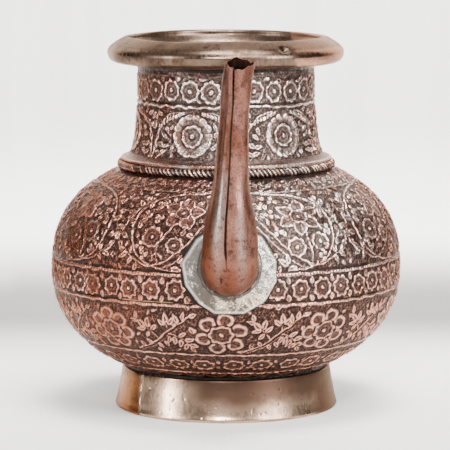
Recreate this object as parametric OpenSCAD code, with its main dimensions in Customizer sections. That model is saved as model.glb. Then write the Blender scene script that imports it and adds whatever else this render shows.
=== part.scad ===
// Spouted copper water jug: two beaten bowls brazed at the girth, a flared neck, a cast rim,
// a rolled foot and a seamed sheet spout on a soldered plate. The spout points along -Y.

/* [Body] */
// Greatest radius of the belly
belly_r = 80; // [60:1:100]
// Height of the greatest radius above the table
belly_z = 64; // [60:1:70]
// Depth of the lower bowl below the greatest radius
bowl_depth = 52; // [50:0.5:54]
// Rise of the shoulder curve above the greatest radius
shoulder_rise = 53.3; // [51:0.1:56]
// Fullness of the lower bowl (2 is an ellipse)
bowl_fullness = 2.2; // [2:0.1:2.4]
// Fullness of the shoulder (2 is an ellipse)
shoulder_fullness = 2.4; // [2.2:0.1:2.6]
// Thickness of the beaten sheet
sheet_t = 1.2; // [1:0.1:1.4]

/* [Neck and rim] */
// Outer radius of the straight part of the neck
neck_r = 40.5; // [38:0.5:42]
// Outer radius of the neck just above its skirt
neck_base_r = 42.5; // [42:0.1:43]
// Height of the top of the neck
neck_top_z = 164; // [163:0.5:165]
// Outer radius of the rim
rim_r = 54; // [53:0.1:58]
// Radius of the mouth at the rim's inner edge
mouth_r = 44.4; // [43:0.1:46]
// Full height of the jug to the top of the rim
jug_h = 169.9; // [169:0.1:172]

/* [Foot] */
// Outer radius of the foot on the table
foot_r = 51.2; // [49:0.1:54]
// Outer radius of the foot's top edge
foot_top_r = 47.9; // [47:0.1:48.5]
// Height of the foot
foot_h = 18.9; // [18.7:0.1:19]
// Compass bearing of the foot's brazed seam from the spout, to the left
foot_seam_bearing = 52; // [30:1:150]

/* [Spout] */
// Height of the spout's root centre
root_z = 75; // [73:0.5:77]
// Outer radius of the spout's root
root_r = 12.4; // [11.5:0.1:13]
// Sideways place of the spout's root
root_x = 1.5; // [0:0.1:2]
// Outer radius that the spout narrows towards
tip_r = 5.75; // [5.5:0.05:7]
// Height of the middle of the spout's tip
tip_z = 166.3; // [160:0.1:168]
// Distance of the tip's middle from the jug's axis
tip_reach = 104; // [102:0.5:108]
// Sideways lean of the tip
tip_lean = 3.9; // [0:0.1:5]
// Thickness of the spout's sheet
spout_t = 0.9; // [0.8:0.1:1]
// Bearing of the lapped edge, to the left of the spout's front
lap_bearing = 12; // [5:1:25]
// Corner radius of the twelve-sided plate at the spout's root
plate_r = 21.4; // [20.5:0.1:23]
// Height of the plate's centre
plate_z = 73; // [72:0.1:74]
// Radius of the water hole behind the spout
hole_r = 9; // [7:0.5:10]

/* [Hidden] */
$fn = 96;

copper = "#a8604a";
dark_copper = "#7d4636";
bronze = "#c8a682";
tin = "#b9b6ae";
spelter = "#c9a14e";

profile_steps = 22;   // points along each curved half of the belly
lap_z = 58.5;         // bottom edge of the upper bowl, where the halves lap
lap_h = 3.5;          // height of the lap
tongue_t = 0.5;       // thickness of the lower bowl's tongue inside the lap
braze_t = 0.2;        // thickness of the spelter between the laps
collar_lip_h = 4.2;   // height of the shoulder's turned-up lip inside the neck
lip_r = neck_base_r - sheet_t - 0.1;
plate_t = 1.2;        // thickness of the spout plate
plate_squash = 0.92;  // the plate's height over its width, as seen from the spout
tin_film_t = 0.3;     // thickness of the solder under the plate
rope_r = 1.75;        // section radius of the collar ring
seam_w = 0.5;         // width of the brazed seam through the foot

// Radius of the belly, grown by off, at a drop or rise of h from the girth.
function curve_r(h, off, depth, power) =
    (belly_r + off) * pow(max(0, 1 - pow(h / (depth + off), power)), 1 / power);
function belly_at(z, off = 0) = z < belly_z
    ? curve_r(belly_z - z, off, bowl_depth, bowl_fullness)
    : curve_r(z - belly_z, off, shoulder_rise, shoulder_fullness);

// Height of the shoulder, grown by off, at radius r.
function shoulder_z(r, off = 0) = belly_z
    + (shoulder_rise + off) * pow(1 - pow(r / (belly_r + off), shoulder_fullness), 1 / shoulder_fullness);
function bowl_z(r, off = 0) = belly_z
    - (bowl_depth + off) * pow(1 - pow(r / (belly_r + off), bowl_fullness), 1 / bowl_fullness);

// Points of each half of the belly, spaced evenly in angle so that both ends are round.
function bowl_points(off) = [for (i = [0:profile_steps])
    let (a = 90 * i / profile_steps, r = (belly_r + off) * pow(sin(a), 2 / bowl_fullness))
    [r, belly_z - (bowl_depth + off) * pow(cos(a), 2 / bowl_fullness)]];
function shoulder_points(off) = [for (i = [0:profile_steps])
    let (a = 90 * i / profile_steps, r = (belly_r + off) * pow(cos(a), 2 / shoulder_fullness))
    [r, belly_z + (shoulder_rise + off) * pow(sin(a), 2 / shoulder_fullness)]];

// The closed outline of the whole belly grown by off, from the axis round to the axis.
module belly_outline(off = 0) {
    polygon(concat(bowl_points(off), [for (i = [1:profile_steps]) shoulder_points(off)[i]]));
}

module belly_shell_outline() {
    difference() {
        belly_outline();
        belly_outline(-sheet_t);
    }
}

// The inner radius of the lap's tongue.
tongue_r = belly_at(lap_z + lap_h / 2) - sheet_t - 0.05;

module lower_bowl() {
    color(copper) rotate_extrude() {
        intersection() {
            belly_shell_outline();
            square([belly_r + 1, lap_z]);
        }
        translate([tongue_r, lap_z - 0.5]) square([tongue_t, lap_h + 0.5]);
    }
}

module belly_braze() {
    color(spelter) rotate_extrude()
        translate([tongue_r + tongue_t, lap_z]) square([braze_t, lap_h]);
}

module water_hole(r) {
    translate([root_x, -belly_r / 2, root_z]) rotate([90, 0, 0]) cylinder(r = r, h = belly_r);
}

module upper_bowl() {
    shoulder_top = shoulder_z(lip_r);
    color(copper) difference() {
        rotate_extrude() {
            difference() {
                intersection() {
                    belly_shell_outline();
                    translate([lip_r - sheet_t, lap_z]) square([belly_r, belly_z]);
                }
                translate([0, lap_z - 1]) square([tongue_r + tongue_t + braze_t, lap_h + 1]);
            }
            translate([lip_r - sheet_t, shoulder_top - sheet_t])
                square([sheet_t, collar_lip_h + sheet_t]);
        }
        water_hole(hole_r);
    }
}

// The neck: a straight throat that widens to a skirt lying over the shoulder.
module neck() {
    skirt_r = 48.3;
    skirt_z = 114;
    straight_z = 141;
    color(copper) rotate_extrude() polygon([
        [neck_r, neck_top_z], [neck_r, straight_z], [neck_r + 0.4, 134], [neck_r + 1.1, 126],
        [neck_base_r, 119.4], [neck_base_r + 0.7, 118.3], [neck_base_r + 2, 117.4],
        [skirt_r, skirt_z], [skirt_r - 1, skirt_z - 0.7],
        [neck_base_r + 1.3, 116.6], [neck_base_r - sheet_t + 0.3, 117.8],
        [neck_base_r - sheet_t, 119.4], [neck_r + 1.1 - sheet_t, 126],
        [neck_r + 0.4 - sheet_t, 134], [neck_r - sheet_t, straight_z], [neck_r - sheet_t, neck_top_z]]);
}

module rope_collar() {
    ring_r = 48.3;
    color(dark_copper) rotate_extrude()
        translate([ring_r, shoulder_z(ring_r) + rope_r + 0.02]) circle(r = rope_r, $fn = 32);
}

module neck_solder() {
    inner_r = lip_r + 0.02;
    outer_r = 45.2;
    color(tin) rotate_extrude() polygon([
        [inner_r, shoulder_z(inner_r) + 0.05], [outer_r, shoulder_z(outer_r) + 0.05],
        [outer_r, 114.8], [neck_base_r + 0.9, 116.6], [neck_base_r - sheet_t + 0.2, 117.4],
        [inner_r, 117.4]]);
}

module rim_ring() {
    under_z = 158.1;
    color(bronze) rotate_extrude() polygon([
        [neck_r, under_z], [rim_r - 4.6, under_z], [rim_r - 2.4, under_z + 0.5],
        [rim_r - 0.8, under_z + 1.9], [rim_r, under_z + 4.1], [rim_r, jug_h - 6.5],
        [rim_r - 0.5, jug_h - 5.4], [rim_r - 1.5, jug_h - 4.1], [rim_r - 5.2, jug_h - 1.5],
        [mouth_r + 1.6, jug_h - 0.1], [mouth_r + 0.8, jug_h], [mouth_r + 0.1, jug_h - 0.6],
        [mouth_r, jug_h - 3],
        [neck_r, neck_top_z]]);
}

module rim_solder() {
    color(tin) rotate_extrude() polygon([
        [neck_r, 158.1], [neck_r + 2, 158.1], [neck_r + 0.7, 157.2], [neck_r, 155.9]]);
}

// The foot's section: a flared skirt with a flat top turned in to meet the bowl.
module foot_outline() {
    flare = foot_r - foot_top_r;
    polygon([
        [foot_r - 2.6, 0], [foot_r - 0.6, 0], [foot_r, 0.8], [foot_top_r + flare * 0.8, 3],
        [foot_top_r + flare * 0.5, 8], [foot_top_r + flare * 0.23, 13], [foot_top_r, foot_h - 0.4],
        [foot_top_r - 0.4, foot_h], [44, foot_h], [44, foot_h - 0.6], [45.4, foot_h - 1.6],
        [foot_top_r - 1.8, foot_h - 3], [foot_top_r + flare * 0.5 - 2, 8], [foot_r - 2.6, 0.8]]);
}

module foot_seam_cut() {
    rotate([0, 0, -90 - foot_seam_bearing])
        translate([40, -seam_w / 2, -1]) cube([15, seam_w, foot_h + 2]);
}

module foot_ring() {
    color(bronze) difference() {
        rotate_extrude() foot_outline();
        foot_seam_cut();
    }
}

module foot_seam_braze() {
    color(spelter) intersection() {
        rotate_extrude() foot_outline();
        foot_seam_cut();
    }
}

module foot_solder() {
    color(tin) rotate_extrude() polygon([
        [44.1, foot_h], [46.5, foot_h], [46.5, bowl_z(46.5) - 0.1], [45.3, bowl_z(45.3) - 0.05]]);
}

// A twelve-sided slab that follows the belly between the offsets low and high.
module plate_slab(low, high, corner_r) {
    intersection() {
        difference() {
            rotate_extrude() belly_outline(high);
            rotate_extrude() belly_outline(low);
        }
        translate([root_x, -belly_r / 2, plate_z]) rotate([90, 0, 0]) linear_extrude(belly_r)
            polygon([for (i = [0:11]) let (a = 30 * i + 15)
                corner_r * [cos(a), plate_squash * sin(a)]]);
    }
}

module spout_plate() {
    color(tin) difference() {
        plate_slab(tin_film_t, tin_film_t + plate_t, plate_r);
        water_hole(hole_r);
    }
}

module plate_solder() {
    color(tin) difference() {
        plate_slab(0.02, tin_film_t, plate_r + 0.5);
        water_hole(hole_r);
    }
}

module spout_solder() {
    wipe_gap = 0.35;
    bead_w = 2;
    face = tin_film_t + plate_t;
    color(tin) intersection() {
        difference() {
            rotate_extrude() belly_outline(face + 1.1);
            rotate_extrude() belly_outline(face);
        }
        translate([root_x, -belly_r / 2, root_z]) rotate([90, 0, 0]) difference() {
            cylinder(r = root_r + wipe_gap + bead_w, h = belly_r);
            translate([0, 0, -1]) cylinder(r = root_r + wipe_gap, h = belly_r + 2);
        }
    }
}

// The spout's rings: [x, y, z, tilt of the ring's front above the horizon, half width, half depth].
// The first ones turn about the upper edge of the root, and the rest follow the rising tube.
root_y = -(belly_at(root_z) + tin_film_t + plate_t);
elbow_turn = 72;
elbow_steps = 6;
tube_steps = 13;
pivot = [root_y - 0.7, root_z + root_r];

function elbow_ring(t) = let (tilt = elbow_turn * t, depth = root_r * (1 - 0.14 * t * t))
    [root_x, pivot[0] - depth * sin(tilt), pivot[1] - depth * cos(tilt), tilt,
        root_r * (1 - 0.03 * t * t), depth];

elbow_end = elbow_ring(1);

function ease(t) = t * t * (3 - 2 * t);

// Half width of the rising tube: it narrows quickly above the bulb and then hardly at all.
function tube_half(t) = tip_r + (elbow_end[4] - tip_r) / (1 + pow(t / 0.27, 2.3));
function tube_ring(t) = let (
        bulb = 1 - ease(min(1, t * 3)),
        upright = ease(min(1, t * 4)),
        depth = tube_half(t) + (elbow_end[5] - elbow_end[4]) * bulb,
        y = elbow_end[1] - 1.6 * upright - (tip_reach + elbow_end[1] - 1.6) * pow(t, 2.2))
    [root_x + tip_lean * t * t, y, elbow_end[2] + (tip_z - elbow_end[2]) * t,
        elbow_turn + (84 - elbow_turn) * upright - 10 * t * t, tube_half(t), depth];

spout_rings = concat([for (i = [0:elbow_steps]) elbow_ring(i / elbow_steps)],
                     [for (i = [1:tube_steps]) tube_ring(i / tube_steps)]);

// A point of a ring at a bearing from its front, inset from its outer surface.
function ring_point(ring, bearing, inset) = [
    ring[0] + (ring[4] - inset) * sin(bearing),
    ring[1] - (ring[5] - inset) * cos(bearing) * sin(ring[3]),
    ring[2] - (ring[5] - inset) * cos(bearing) * cos(ring[3])];

// The same point, moved along Y onto the face of the plate, with a hair's gap.
plate_face = tin_film_t + plate_t;
root_gap = 0.05;
function on_plate(p) = let (r = belly_at(p[2], plate_face) + root_gap)
    [p[0], -sqrt(r * r - p[0] * p[0]), p[2]];

lap_angle = 10;          // how far the sheet's edges overlap
lap_gap = 0.15;          // solder gap between the overlapping edges
sheet_points = 44;       // points round the rolled sheet
rise_from = 290;         // where the outer edge starts to climb over the inner one

function climb(turn) = (spout_t + lap_gap) * ease(max(0, min(1, (turn - rise_from) / (360 - rise_from))));
function sheet_turn(i) = (360 + lap_angle) * i / sheet_points;
function sheet_point(ring, turn, depth) =
    ring_point(ring, turn - lap_bearing - lap_angle, depth - climb(turn));
function sheet_section(ring) = concat(
    [for (i = [0:sheet_points]) sheet_point(ring, sheet_turn(i), spout_t)],
    [for (i = [sheet_points:-1:0]) sheet_point(ring, sheet_turn(i), 0)]);

// A closed solid through flat strips: each section runs out along one side and back along the other.
module loft(sections) {
    n = len(sections[0]);
    last = (len(sections) - 1) * n;
    polyhedron(
        points = [for (s = sections) each s],
        faces = concat(
            [for (i = [0:n / 2 - 2]) each [[i, n - 2 - i, i + 1], [i, n - 1 - i, n - 2 - i]]],
            [for (k = [0:n:last - 1], i = [0:n - 1]) let (j = (i + 1) % n)
                each [[k + i, k + j, k + n + j], [k + i, k + n + j, k + n + i]]],
            [for (i = [0:n / 2 - 2]) let (a = last + i, b = last + n - 1 - i)
                each [[a, a + 1, b - 1], [a, b - 1, b]]]),
        convexity = 8);
}

module spout_tube() {
    sections = [for (k = [0:len(spout_rings) - 1]) let (s = sheet_section(spout_rings[k]))
        k == 0 ? [for (p = s) on_plate(p)] : s];
    color(dark_copper) loft(sections);
}

// The solder that runs up the inside of the lap, against the sheet's inner edge.
module spout_seam_solder() {
    edge = -lap_bearing - lap_angle;
    outer = 0.03 - lap_gap;
    sections = [for (k = [2:len(spout_rings) - 2]) let (ring = spout_rings[k]) [
        ring_point(ring, edge - 5, outer), ring_point(ring, edge - 5, outer + 0.2),
        ring_point(ring, edge - 0.6, outer + spout_t), ring_point(ring, edge - 0.6, outer)]];
    color(tin) loft(sections);
}

lower_bowl();
belly_braze();
upper_bowl();
neck();
rope_collar();
neck_solder();
rim_ring();
rim_solder();
foot_ring();
foot_seam_braze();
foot_solder();
spout_plate();
plate_solder();
spout_tube();
spout_seam_solder();
spout_solder();
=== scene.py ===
"""Looks of a spouted copper water jug: chased bowls and neck, rolled rim, ring foot and seamed spout."""

import logging
import math
from dataclasses import dataclass, field
from enum import Enum
from typing import Sequence

import bpy
import numpy as np
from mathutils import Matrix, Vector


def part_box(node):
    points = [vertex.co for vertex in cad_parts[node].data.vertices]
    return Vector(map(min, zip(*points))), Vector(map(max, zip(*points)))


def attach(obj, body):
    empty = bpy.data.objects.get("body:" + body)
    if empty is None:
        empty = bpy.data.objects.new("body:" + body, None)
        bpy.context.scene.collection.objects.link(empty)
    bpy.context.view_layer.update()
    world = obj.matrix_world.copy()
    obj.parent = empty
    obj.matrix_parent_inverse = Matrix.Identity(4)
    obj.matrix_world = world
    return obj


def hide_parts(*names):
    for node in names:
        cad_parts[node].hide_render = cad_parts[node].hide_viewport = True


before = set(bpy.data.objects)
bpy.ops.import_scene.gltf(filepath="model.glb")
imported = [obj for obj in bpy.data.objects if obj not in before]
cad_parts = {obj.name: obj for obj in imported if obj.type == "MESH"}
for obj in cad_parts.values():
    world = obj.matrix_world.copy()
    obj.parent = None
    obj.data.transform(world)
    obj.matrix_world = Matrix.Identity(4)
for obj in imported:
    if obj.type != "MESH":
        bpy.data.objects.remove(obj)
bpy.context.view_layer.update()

MM = 0.001
LOG = logging.getLogger("jug")
Points = Sequence[tuple[float, float]]
Colour = tuple[float, float, float]


# ---------------------------------------------------------------------------------------------
# Small maths used by every figure
# ---------------------------------------------------------------------------------------------

def smooth(low: np.ndarray | float, high: np.ndarray | float, value: np.ndarray) -> np.ndarray:
    """Rise from 0 at low to 1 at high without a corner."""
    t = np.clip((value - low) / (high - low), 0, 1)
    return t * t * (3 - 2 * t)


def ridge(distance: np.ndarray, half: np.ndarray | float) -> np.ndarray:
    """Height of a rounded line of a half width, 1 on its middle."""
    return 0.5 + 0.5 * np.cos(np.pi * np.clip(np.abs(distance) / half, 0, 1))


def dome(distance: np.ndarray, radius: float) -> np.ndarray:
    """Height of a round bead of a radius, 1 on its middle."""
    return np.sqrt(np.clip(1 - (distance / radius) ** 2, 0, 1))


def plateau(value: np.ndarray, low: np.ndarray | float, high: np.ndarray | float, soft: float) -> np.ndarray:
    """1 between low and high, with edges that fall over a soft distance."""
    return smooth(low - soft, low + soft, value) * (1 - smooth(high - soft, high + soft, value))


def swell(distance: np.ndarray | float, half: float) -> np.ndarray | float:
    """Height of a bell-shaped swelling, 1 on its middle and about a third at a half width."""
    return np.exp(-(distance / half) ** 2)


def whole_turn(count: int) -> np.ndarray:
    """Azimuths of evenly spaced points all round the jug, as one row."""
    return np.linspace(-np.pi, np.pi, count, endpoint=False)[None, :]


def off_from(azimuth: np.ndarray, start: float) -> np.ndarray:
    """How far round each azimuth is from a start, up to half a turn either way."""
    return (azimuth - start + np.pi) % (2 * np.pi) - np.pi


def wander(angle: np.ndarray, seed: int, waves: int = 5, first: int = 2) -> np.ndarray:
    """A closed, slow wave round the jug, between about -1 and 1.

    Args:
        angle: Azimuths in radians.
        seed: Chooses the wave.
        waves: How many harmonics are summed.
        first: The lowest harmonic.

    Returns:
        The wave at each azimuth.
    """
    rng = np.random.default_rng(seed)
    total = sum(rng.uniform(0.4, 1) * np.sin((first + k) * angle + rng.uniform(0, 2 * np.pi))
                for k in range(waves))
    return total / math.sqrt(waves)


def hammered(angle: np.ndarray, arc: np.ndarray, girth: float, size: float, seed: int) -> np.ndarray:
    """The unevenness a hammer leaves, the same on every strip of one wall.

    Args:
        angle: Azimuths in radians.
        arc: Arc lengths.
        girth: The wall's greatest radius.
        size: About how long its waves are.
        seed: Chooses the waves.

    Returns:
        Heights with a spread of about 1.
    """
    rng = np.random.default_rng(seed)
    total = np.zeros(np.broadcast_shapes(angle.shape, arc.shape))
    waves = 22
    for heading, length, phase in rng.uniform((0, 0.7, 0), (np.pi, 1.6, 2 * np.pi), (waves, 3)):
        around = round(2 * np.pi * girth * math.cos(heading) / (size * length))
        total += np.sin(around * angle + 2 * np.pi * math.sin(heading) / (size * length) * arc + phase)
    return total / math.sqrt(waves / 2)


# ---------------------------------------------------------------------------------------------
# Shader toolkit
# ---------------------------------------------------------------------------------------------

class Channel:
    """A shader socket that can be used in Python expressions."""

    def __init__(self, sheet: "Sheet", socket: bpy.types.NodeSocket) -> None:
        self.sheet, self.socket = sheet, socket

    def _maths(self, operation: str, first: object, second: object) -> "Channel":
        """One Math node on two values or channels."""
        return self.sheet.node("ShaderNodeMath", {"operation": operation}, {0: first, 1: second})

    def __add__(self, other: object) -> "Channel":
        """Sum."""
        return self._maths("ADD", self, other)

    def __mul__(self, other: object) -> "Channel":
        """Product."""
        return self._maths("MULTIPLY", self, other)

    def __sub__(self, other: object) -> "Channel":
        """Difference."""
        return self._maths("SUBTRACT", self, other)

    def __rsub__(self, other: object) -> "Channel":
        """Reflected difference."""
        return self._maths("SUBTRACT", other, self)

    __radd__ = __add__
    __rmul__ = __mul__

    def absolute(self) -> "Channel":
        """Size without sign."""
        return self._maths("ABSOLUTE", self, 0.0)

    def most(self, other: object) -> "Channel":
        """The greater of the two."""
        return self._maths("MAXIMUM", self, other)

    def rise(self, low: float, high: float) -> "Channel":
        """0 at low, 1 at high, smooth between and clamped outside."""
        return self.sheet.node("ShaderNodeMapRange", {"interpolation_type": "SMOOTHSTEP"},
                               {0: self, 1: low, 2: high})


class Sheet:
    """A material under construction."""

    def __init__(self, name: str, **constants: float | tuple[float, ...]) -> None:
        self.material = bpy.data.materials.new(name)
        self.material.use_nodes = True
        self.tree = self.material.node_tree
        self.tree.nodes.clear()
        output = self.tree.nodes.new("ShaderNodeOutputMaterial")
        self.surface = self.tree.nodes.new("ShaderNodeBsdfPrincipled")
        self.tree.links.new(self.surface.outputs[0], output.inputs[0])
        for socket, value in constants.items():
            self.surface.inputs[socket.replace("_", " ")].default_value = value

    def feed(self, socket: bpy.types.NodeSocket, value: object) -> None:
        """Link a channel to a socket, or set the socket to a value."""
        if isinstance(value, Channel):
            self.tree.links.new(value.socket, socket)
        elif isinstance(value, tuple) and len(value) == 3 and socket.type == "RGBA":
            socket.default_value = (*value, 1.0)
        else:
            socket.default_value = value

    def node(self, kind: str, settings: dict[str, object], inputs: dict[int | str, object],
             output: int | str = 0) -> Channel:
        """Make any node.

        Args:
            kind: The node's type.
            settings: Its properties, which are set first.
            inputs: Values or channels for its sockets, by index or name.
            output: Which output to give back.

        Returns:
            The chosen output.
        """
        made = self.tree.nodes.new(kind)
        for key, value in settings.items():
            setattr(made, key, value)
        for key, value in inputs.items():
            self.feed(made.inputs[key], value)
        return Channel(self, made.outputs[output])

    def place(self) -> Channel:
        """The point on the piece, in metres."""
        return self.node("ShaderNodeTexCoord", {}, {}, "Object")

    def axis(self, which: int) -> Channel:
        """One coordinate of the point, in metres: 0 is X, 1 is Y, 2 is Z."""
        return self.node("ShaderNodeSeparateXYZ", {}, {0: self.place()}, which)

    def mark(self, attribute: str) -> Channel:
        """A value stored on the mesh's points."""
        return self.node("ShaderNodeAttribute", {"attribute_name": attribute}, {}, "Fac")

    def grain(self, size: float, detail: float = 3.0, roughness: float = 0.55, warp: float = 0.0,
              stretch: tuple[float, float, float] = (1.0, 1.0, 1.0), shift: float = 0.0) -> Channel:
        """Noise with features of about a size in millimetres.

        Args:
            size: Feature size in millimetres.
            detail: Octaves.
            roughness: Strength of the finer octaves.
            warp: Distortion.
            stretch: Scale of each axis, below 1 to draw the noise out.
            shift: Moves the noise, so that two of one size differ.

        Returns:
            The noise, about 0.5 in the mean.
        """
        spot = self.node("ShaderNodeMapping", {}, {"Vector": self.place(), "Scale": stretch,
                                                   "Location": (shift, 0.0, 0.0)})
        grain = {"Detail": detail, "Roughness": roughness, "Distortion": warp}
        return self.node("ShaderNodeTexNoise", {}, {"Vector": spot, "Scale": 1 / (size * MM), **grain})

    def cells(self, size: float) -> Channel:
        """Distance to the nearest of points scattered about a size in millimetres apart."""
        return self.node("ShaderNodeTexVoronoi", {},
                         {"Vector": self.place(), "Scale": 1 / (size * MM)}, "Distance")

    def mix(self, mask: object, first: object, second: object) -> Channel:
        """Colour from first to second as the mask goes from 0 to 1."""
        return self.node("ShaderNodeMix", {"data_type": "RGBA"}, {0: mask, 6: first, 7: second}, 2)

    def bump(self, height: Channel, distance: float, strength: float = 1.0,
             under: Channel | None = None) -> Channel:
        """A surface normal from a height, with its full height in millimetres."""
        sockets: dict[int | str, object] = {"Height": height, "Distance": distance * MM, "Strength": strength}
        if under is not None:
            sockets["Normal"] = under
        return self.node("ShaderNodeBump", {}, sockets)

    def finish(self, **looks: object) -> bpy.types.Material:
        """Feed the surface's sockets, by name, and give the material back."""
        for socket, value in looks.items():
            self.feed(self.surface.inputs[socket.replace("_", " ")], value)
        return self.material


# ---------------------------------------------------------------------------------------------
# Finishes
# ---------------------------------------------------------------------------------------------

@dataclass(frozen=True)
class ChasedCopper:
    """Copper rubbed bright on its raised lines, dark in the punched ground, with traces of old tin on the
    front that also stand for a painted reflection of the right lamp, and painted shade low on the bowl.
    """
    name: str = "chased_copper"
    ground: Colour = (0.0155, 0.0088, 0.0072)
    flank: Colour = (0.098, 0.043, 0.031)
    crest: Colour = (0.66, 0.325, 0.235)
    ember: Colour = (0.20, 0.050, 0.020)
    # Colours and extent of the front patch: old tin traces and, with them, a painted reflection (sheen) of
    # the right lamp.
    tin: Colour = (0.88, 0.76, 0.69)
    dull_tin_and_sheen: Colour = (0.155, 0.115, 0.10)
    tin_and_sheen_ground: Colour = (0.038, 0.027, 0.0235)
    tin_and_sheen_low: float = 52.0
    tin_and_sheen_full: float = 86.0
    tin_and_sheen_most: float = 0.9
    tin_and_sheen_middle: float = 0.031
    tin_and_sheen_reach: float = 0.017

    def make(self) -> bpy.types.Material:
        """Build the material."""
        s = Sheet(self.name, Specular_IOR_Level=0.3, Specular_Tint=(0.90, 0.78, 0.72, 1.0))
        relief, crest = s.mark("relief"), s.mark("crest")
        speck = s.grain(0.8, 4, 0.7)
        worn = s.grain(2.6, 3, 0.6, shift=8.0)
        blotch = s.grain(11, 4, 0.6, shift=1.0)
        level = relief * 0.70 + crest * 0.42 + (speck - 0.5) * 0.75
        level = level + (worn - 0.5) * 0.40 + (blotch - 0.5) * 0.35
        low, high = level.rise(0.0, 0.36), level.rise(0.30, 0.86)
        x = s.axis(0)
        # The front patch mask, on the front side only: old tin traces together with a painted reflection of
        # the right lamp.
        beside = (x - self.tin_and_sheen_middle).absolute().rise(self.tin_and_sheen_reach, self.tin_and_sheen_reach + 0.031)
        front = (s.axis(1) * -1).rise(0.0, 0.03) * (1 - beside)
        tin_and_sheen = front * s.axis(2).rise(self.tin_and_sheen_low * MM, self.tin_and_sheen_full * MM)
        tin_and_sheen = tin_and_sheen * s.grain(7, 4, 0.7, shift=3.0).rise(0.28, 0.64) * self.tin_and_sheen_most
        sides = (x * -1).rise(0.004, 0.062) + x.rise(0.06, 0.08) * 0.5
        fire = s.grain(20, 3, shift=7.0).rise(0.36, 0.60) * sides
        bright = s.mix(tin_and_sheen, s.mix(fire * 0.8, self.crest, self.ember), self.tin)
        middle = s.mix(tin_and_sheen * 0.85, s.mix(fire * 0.6, self.flank, self.ember), self.dull_tin_and_sheen)
        body = s.mix(high, s.mix(low, s.mix(tin_and_sheen, self.ground, self.tin_and_sheen_ground), middle), bright)
        # Painted shade: the colour darkens towards the bowl's bottom, from 62 mm down to 25 mm.
        body = s.mix((1 - s.axis(2).rise(0.025, 0.062)) * 0.26, body, self.ground)
        pits = s.cells(0.7).rise(0.1, 0.55)
        normal = s.bump(pits * (1 - high) * 0.7 + speck * 0.5, 0.17, 0.8)
        normal = s.bump(worn, 0.5, 0.7, normal)
        return s.finish(Base_Color=body, Metallic=high * 0.22 + 0.76, Roughness=0.31 - high * 0.11,
                        Normal=normal)


@dataclass(frozen=True)
class WornBronze:
    """A smooth cast or rolled metal, rubbed on its edges, with stains, pits and fine scratches; the rubbed
    edges also carry a painted highlight, and painted shade can darken one side, the top and marked places.
    """
    name: str
    bright: Colour
    dull: Colour
    stain_and_shade: Colour
    gloss: float = 0.26
    dirt: float = 0.5
    streak: tuple[float, float, float] = (1.0, 1.0, 0.25)
    flush: Colour = (0.45, 0.22, 0.13)
    flush_side: float = -1.0
    flush_from: float = 0.040
    flush_edge: float = 0.004
    # Painted shade: how far to the side it starts, and the height above which the top is darkened (off at 1
    # m).
    painted_shade_from: float = 1.0
    painted_shade_above: float = 1.0
    edge_shine: float = 0.7
    edge_tint: tuple[float, ...] = (0.92, 0.78, 0.68, 1.0)

    def make(self) -> bpy.types.Material:
        """Build the material."""
        s = Sheet(self.name, Specular_IOR_Level=0.5, Specular_Tint=self.edge_tint)
        cloud = s.grain(17, 4, 0.6)
        fine = s.grain(1.6, 5, 0.7, stretch=self.streak)
        scuff = s.grain(0.35, 3, 0.6, stretch=(1.0, 1.0, 0.08), shift=2.0)
        grime_and_shade, edge = s.mark("crest"), s.mark("relief")
        tarnish_and_shade = (cloud * 0.65 + fine * 0.45).rise(0.46, 0.70) * self.dirt
        side = s.axis(0) + (cloud - 0.5) * 0.01
        # Painted shade on the top, from just left of the middle to the right.
        painted_top_shade = (s.axis(2) + (cloud - 0.5) * 0.012).rise(self.painted_shade_above, self.painted_shade_above + 0.010)
        painted_top_shade = painted_top_shade * side.rise(-0.022, -0.008)
        # The tarnish mask also takes the painted shade of the side and of the top.
        tarnish_and_shade = tarnish_and_shade.most(side.rise(self.painted_shade_from, self.painted_shade_from + 0.008)).most(painted_top_shade * 0.95)
        specks = (1 - s.cells(3.4).rise(0.02, 0.16)) * s.grain(8, 2, shift=5.0).rise(0.5, 0.62)
        reach = s.axis(0) * self.flush_side + (s.grain(6, 2, shift=9.0) - 0.5) * self.flush_edge * 3
        body = s.mix(tarnish_and_shade, self.bright, self.dull)
        flushed = reach.rise(self.flush_from, self.flush_from + self.flush_edge)
        body = s.mix(flushed * 0.92, body, self.flush)
        # Stain colour over specks and the crest mark: grime, and painted shade or dark reflection where a
        # piece marks it.
        body = s.mix(specks.most(grime_and_shade * -1) * 0.85, body, self.stain_and_shade)
        # Rubbed edges, also a painted highlight, lightened by the edge mark.
        body = s.mix(edge * self.edge_shine, body, self.bright)
        # More painted shade on the top, in the stain colour.
        body = s.mix(painted_top_shade * 0.6, body, self.stain_and_shade)
        normal = s.bump(scuff * 0.5 + fine * 0.5, 0.05, 0.5)
        normal = s.bump(cloud, 0.5, 0.35, normal)
        rough = tarnish_and_shade * 0.22 + fine * 0.12 + specks * 0.3 - edge * 0.08 + self.gloss
        return s.finish(Base_Color=body, Metallic=1 - specks * 0.7, Roughness=rough, Normal=normal)


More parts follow.
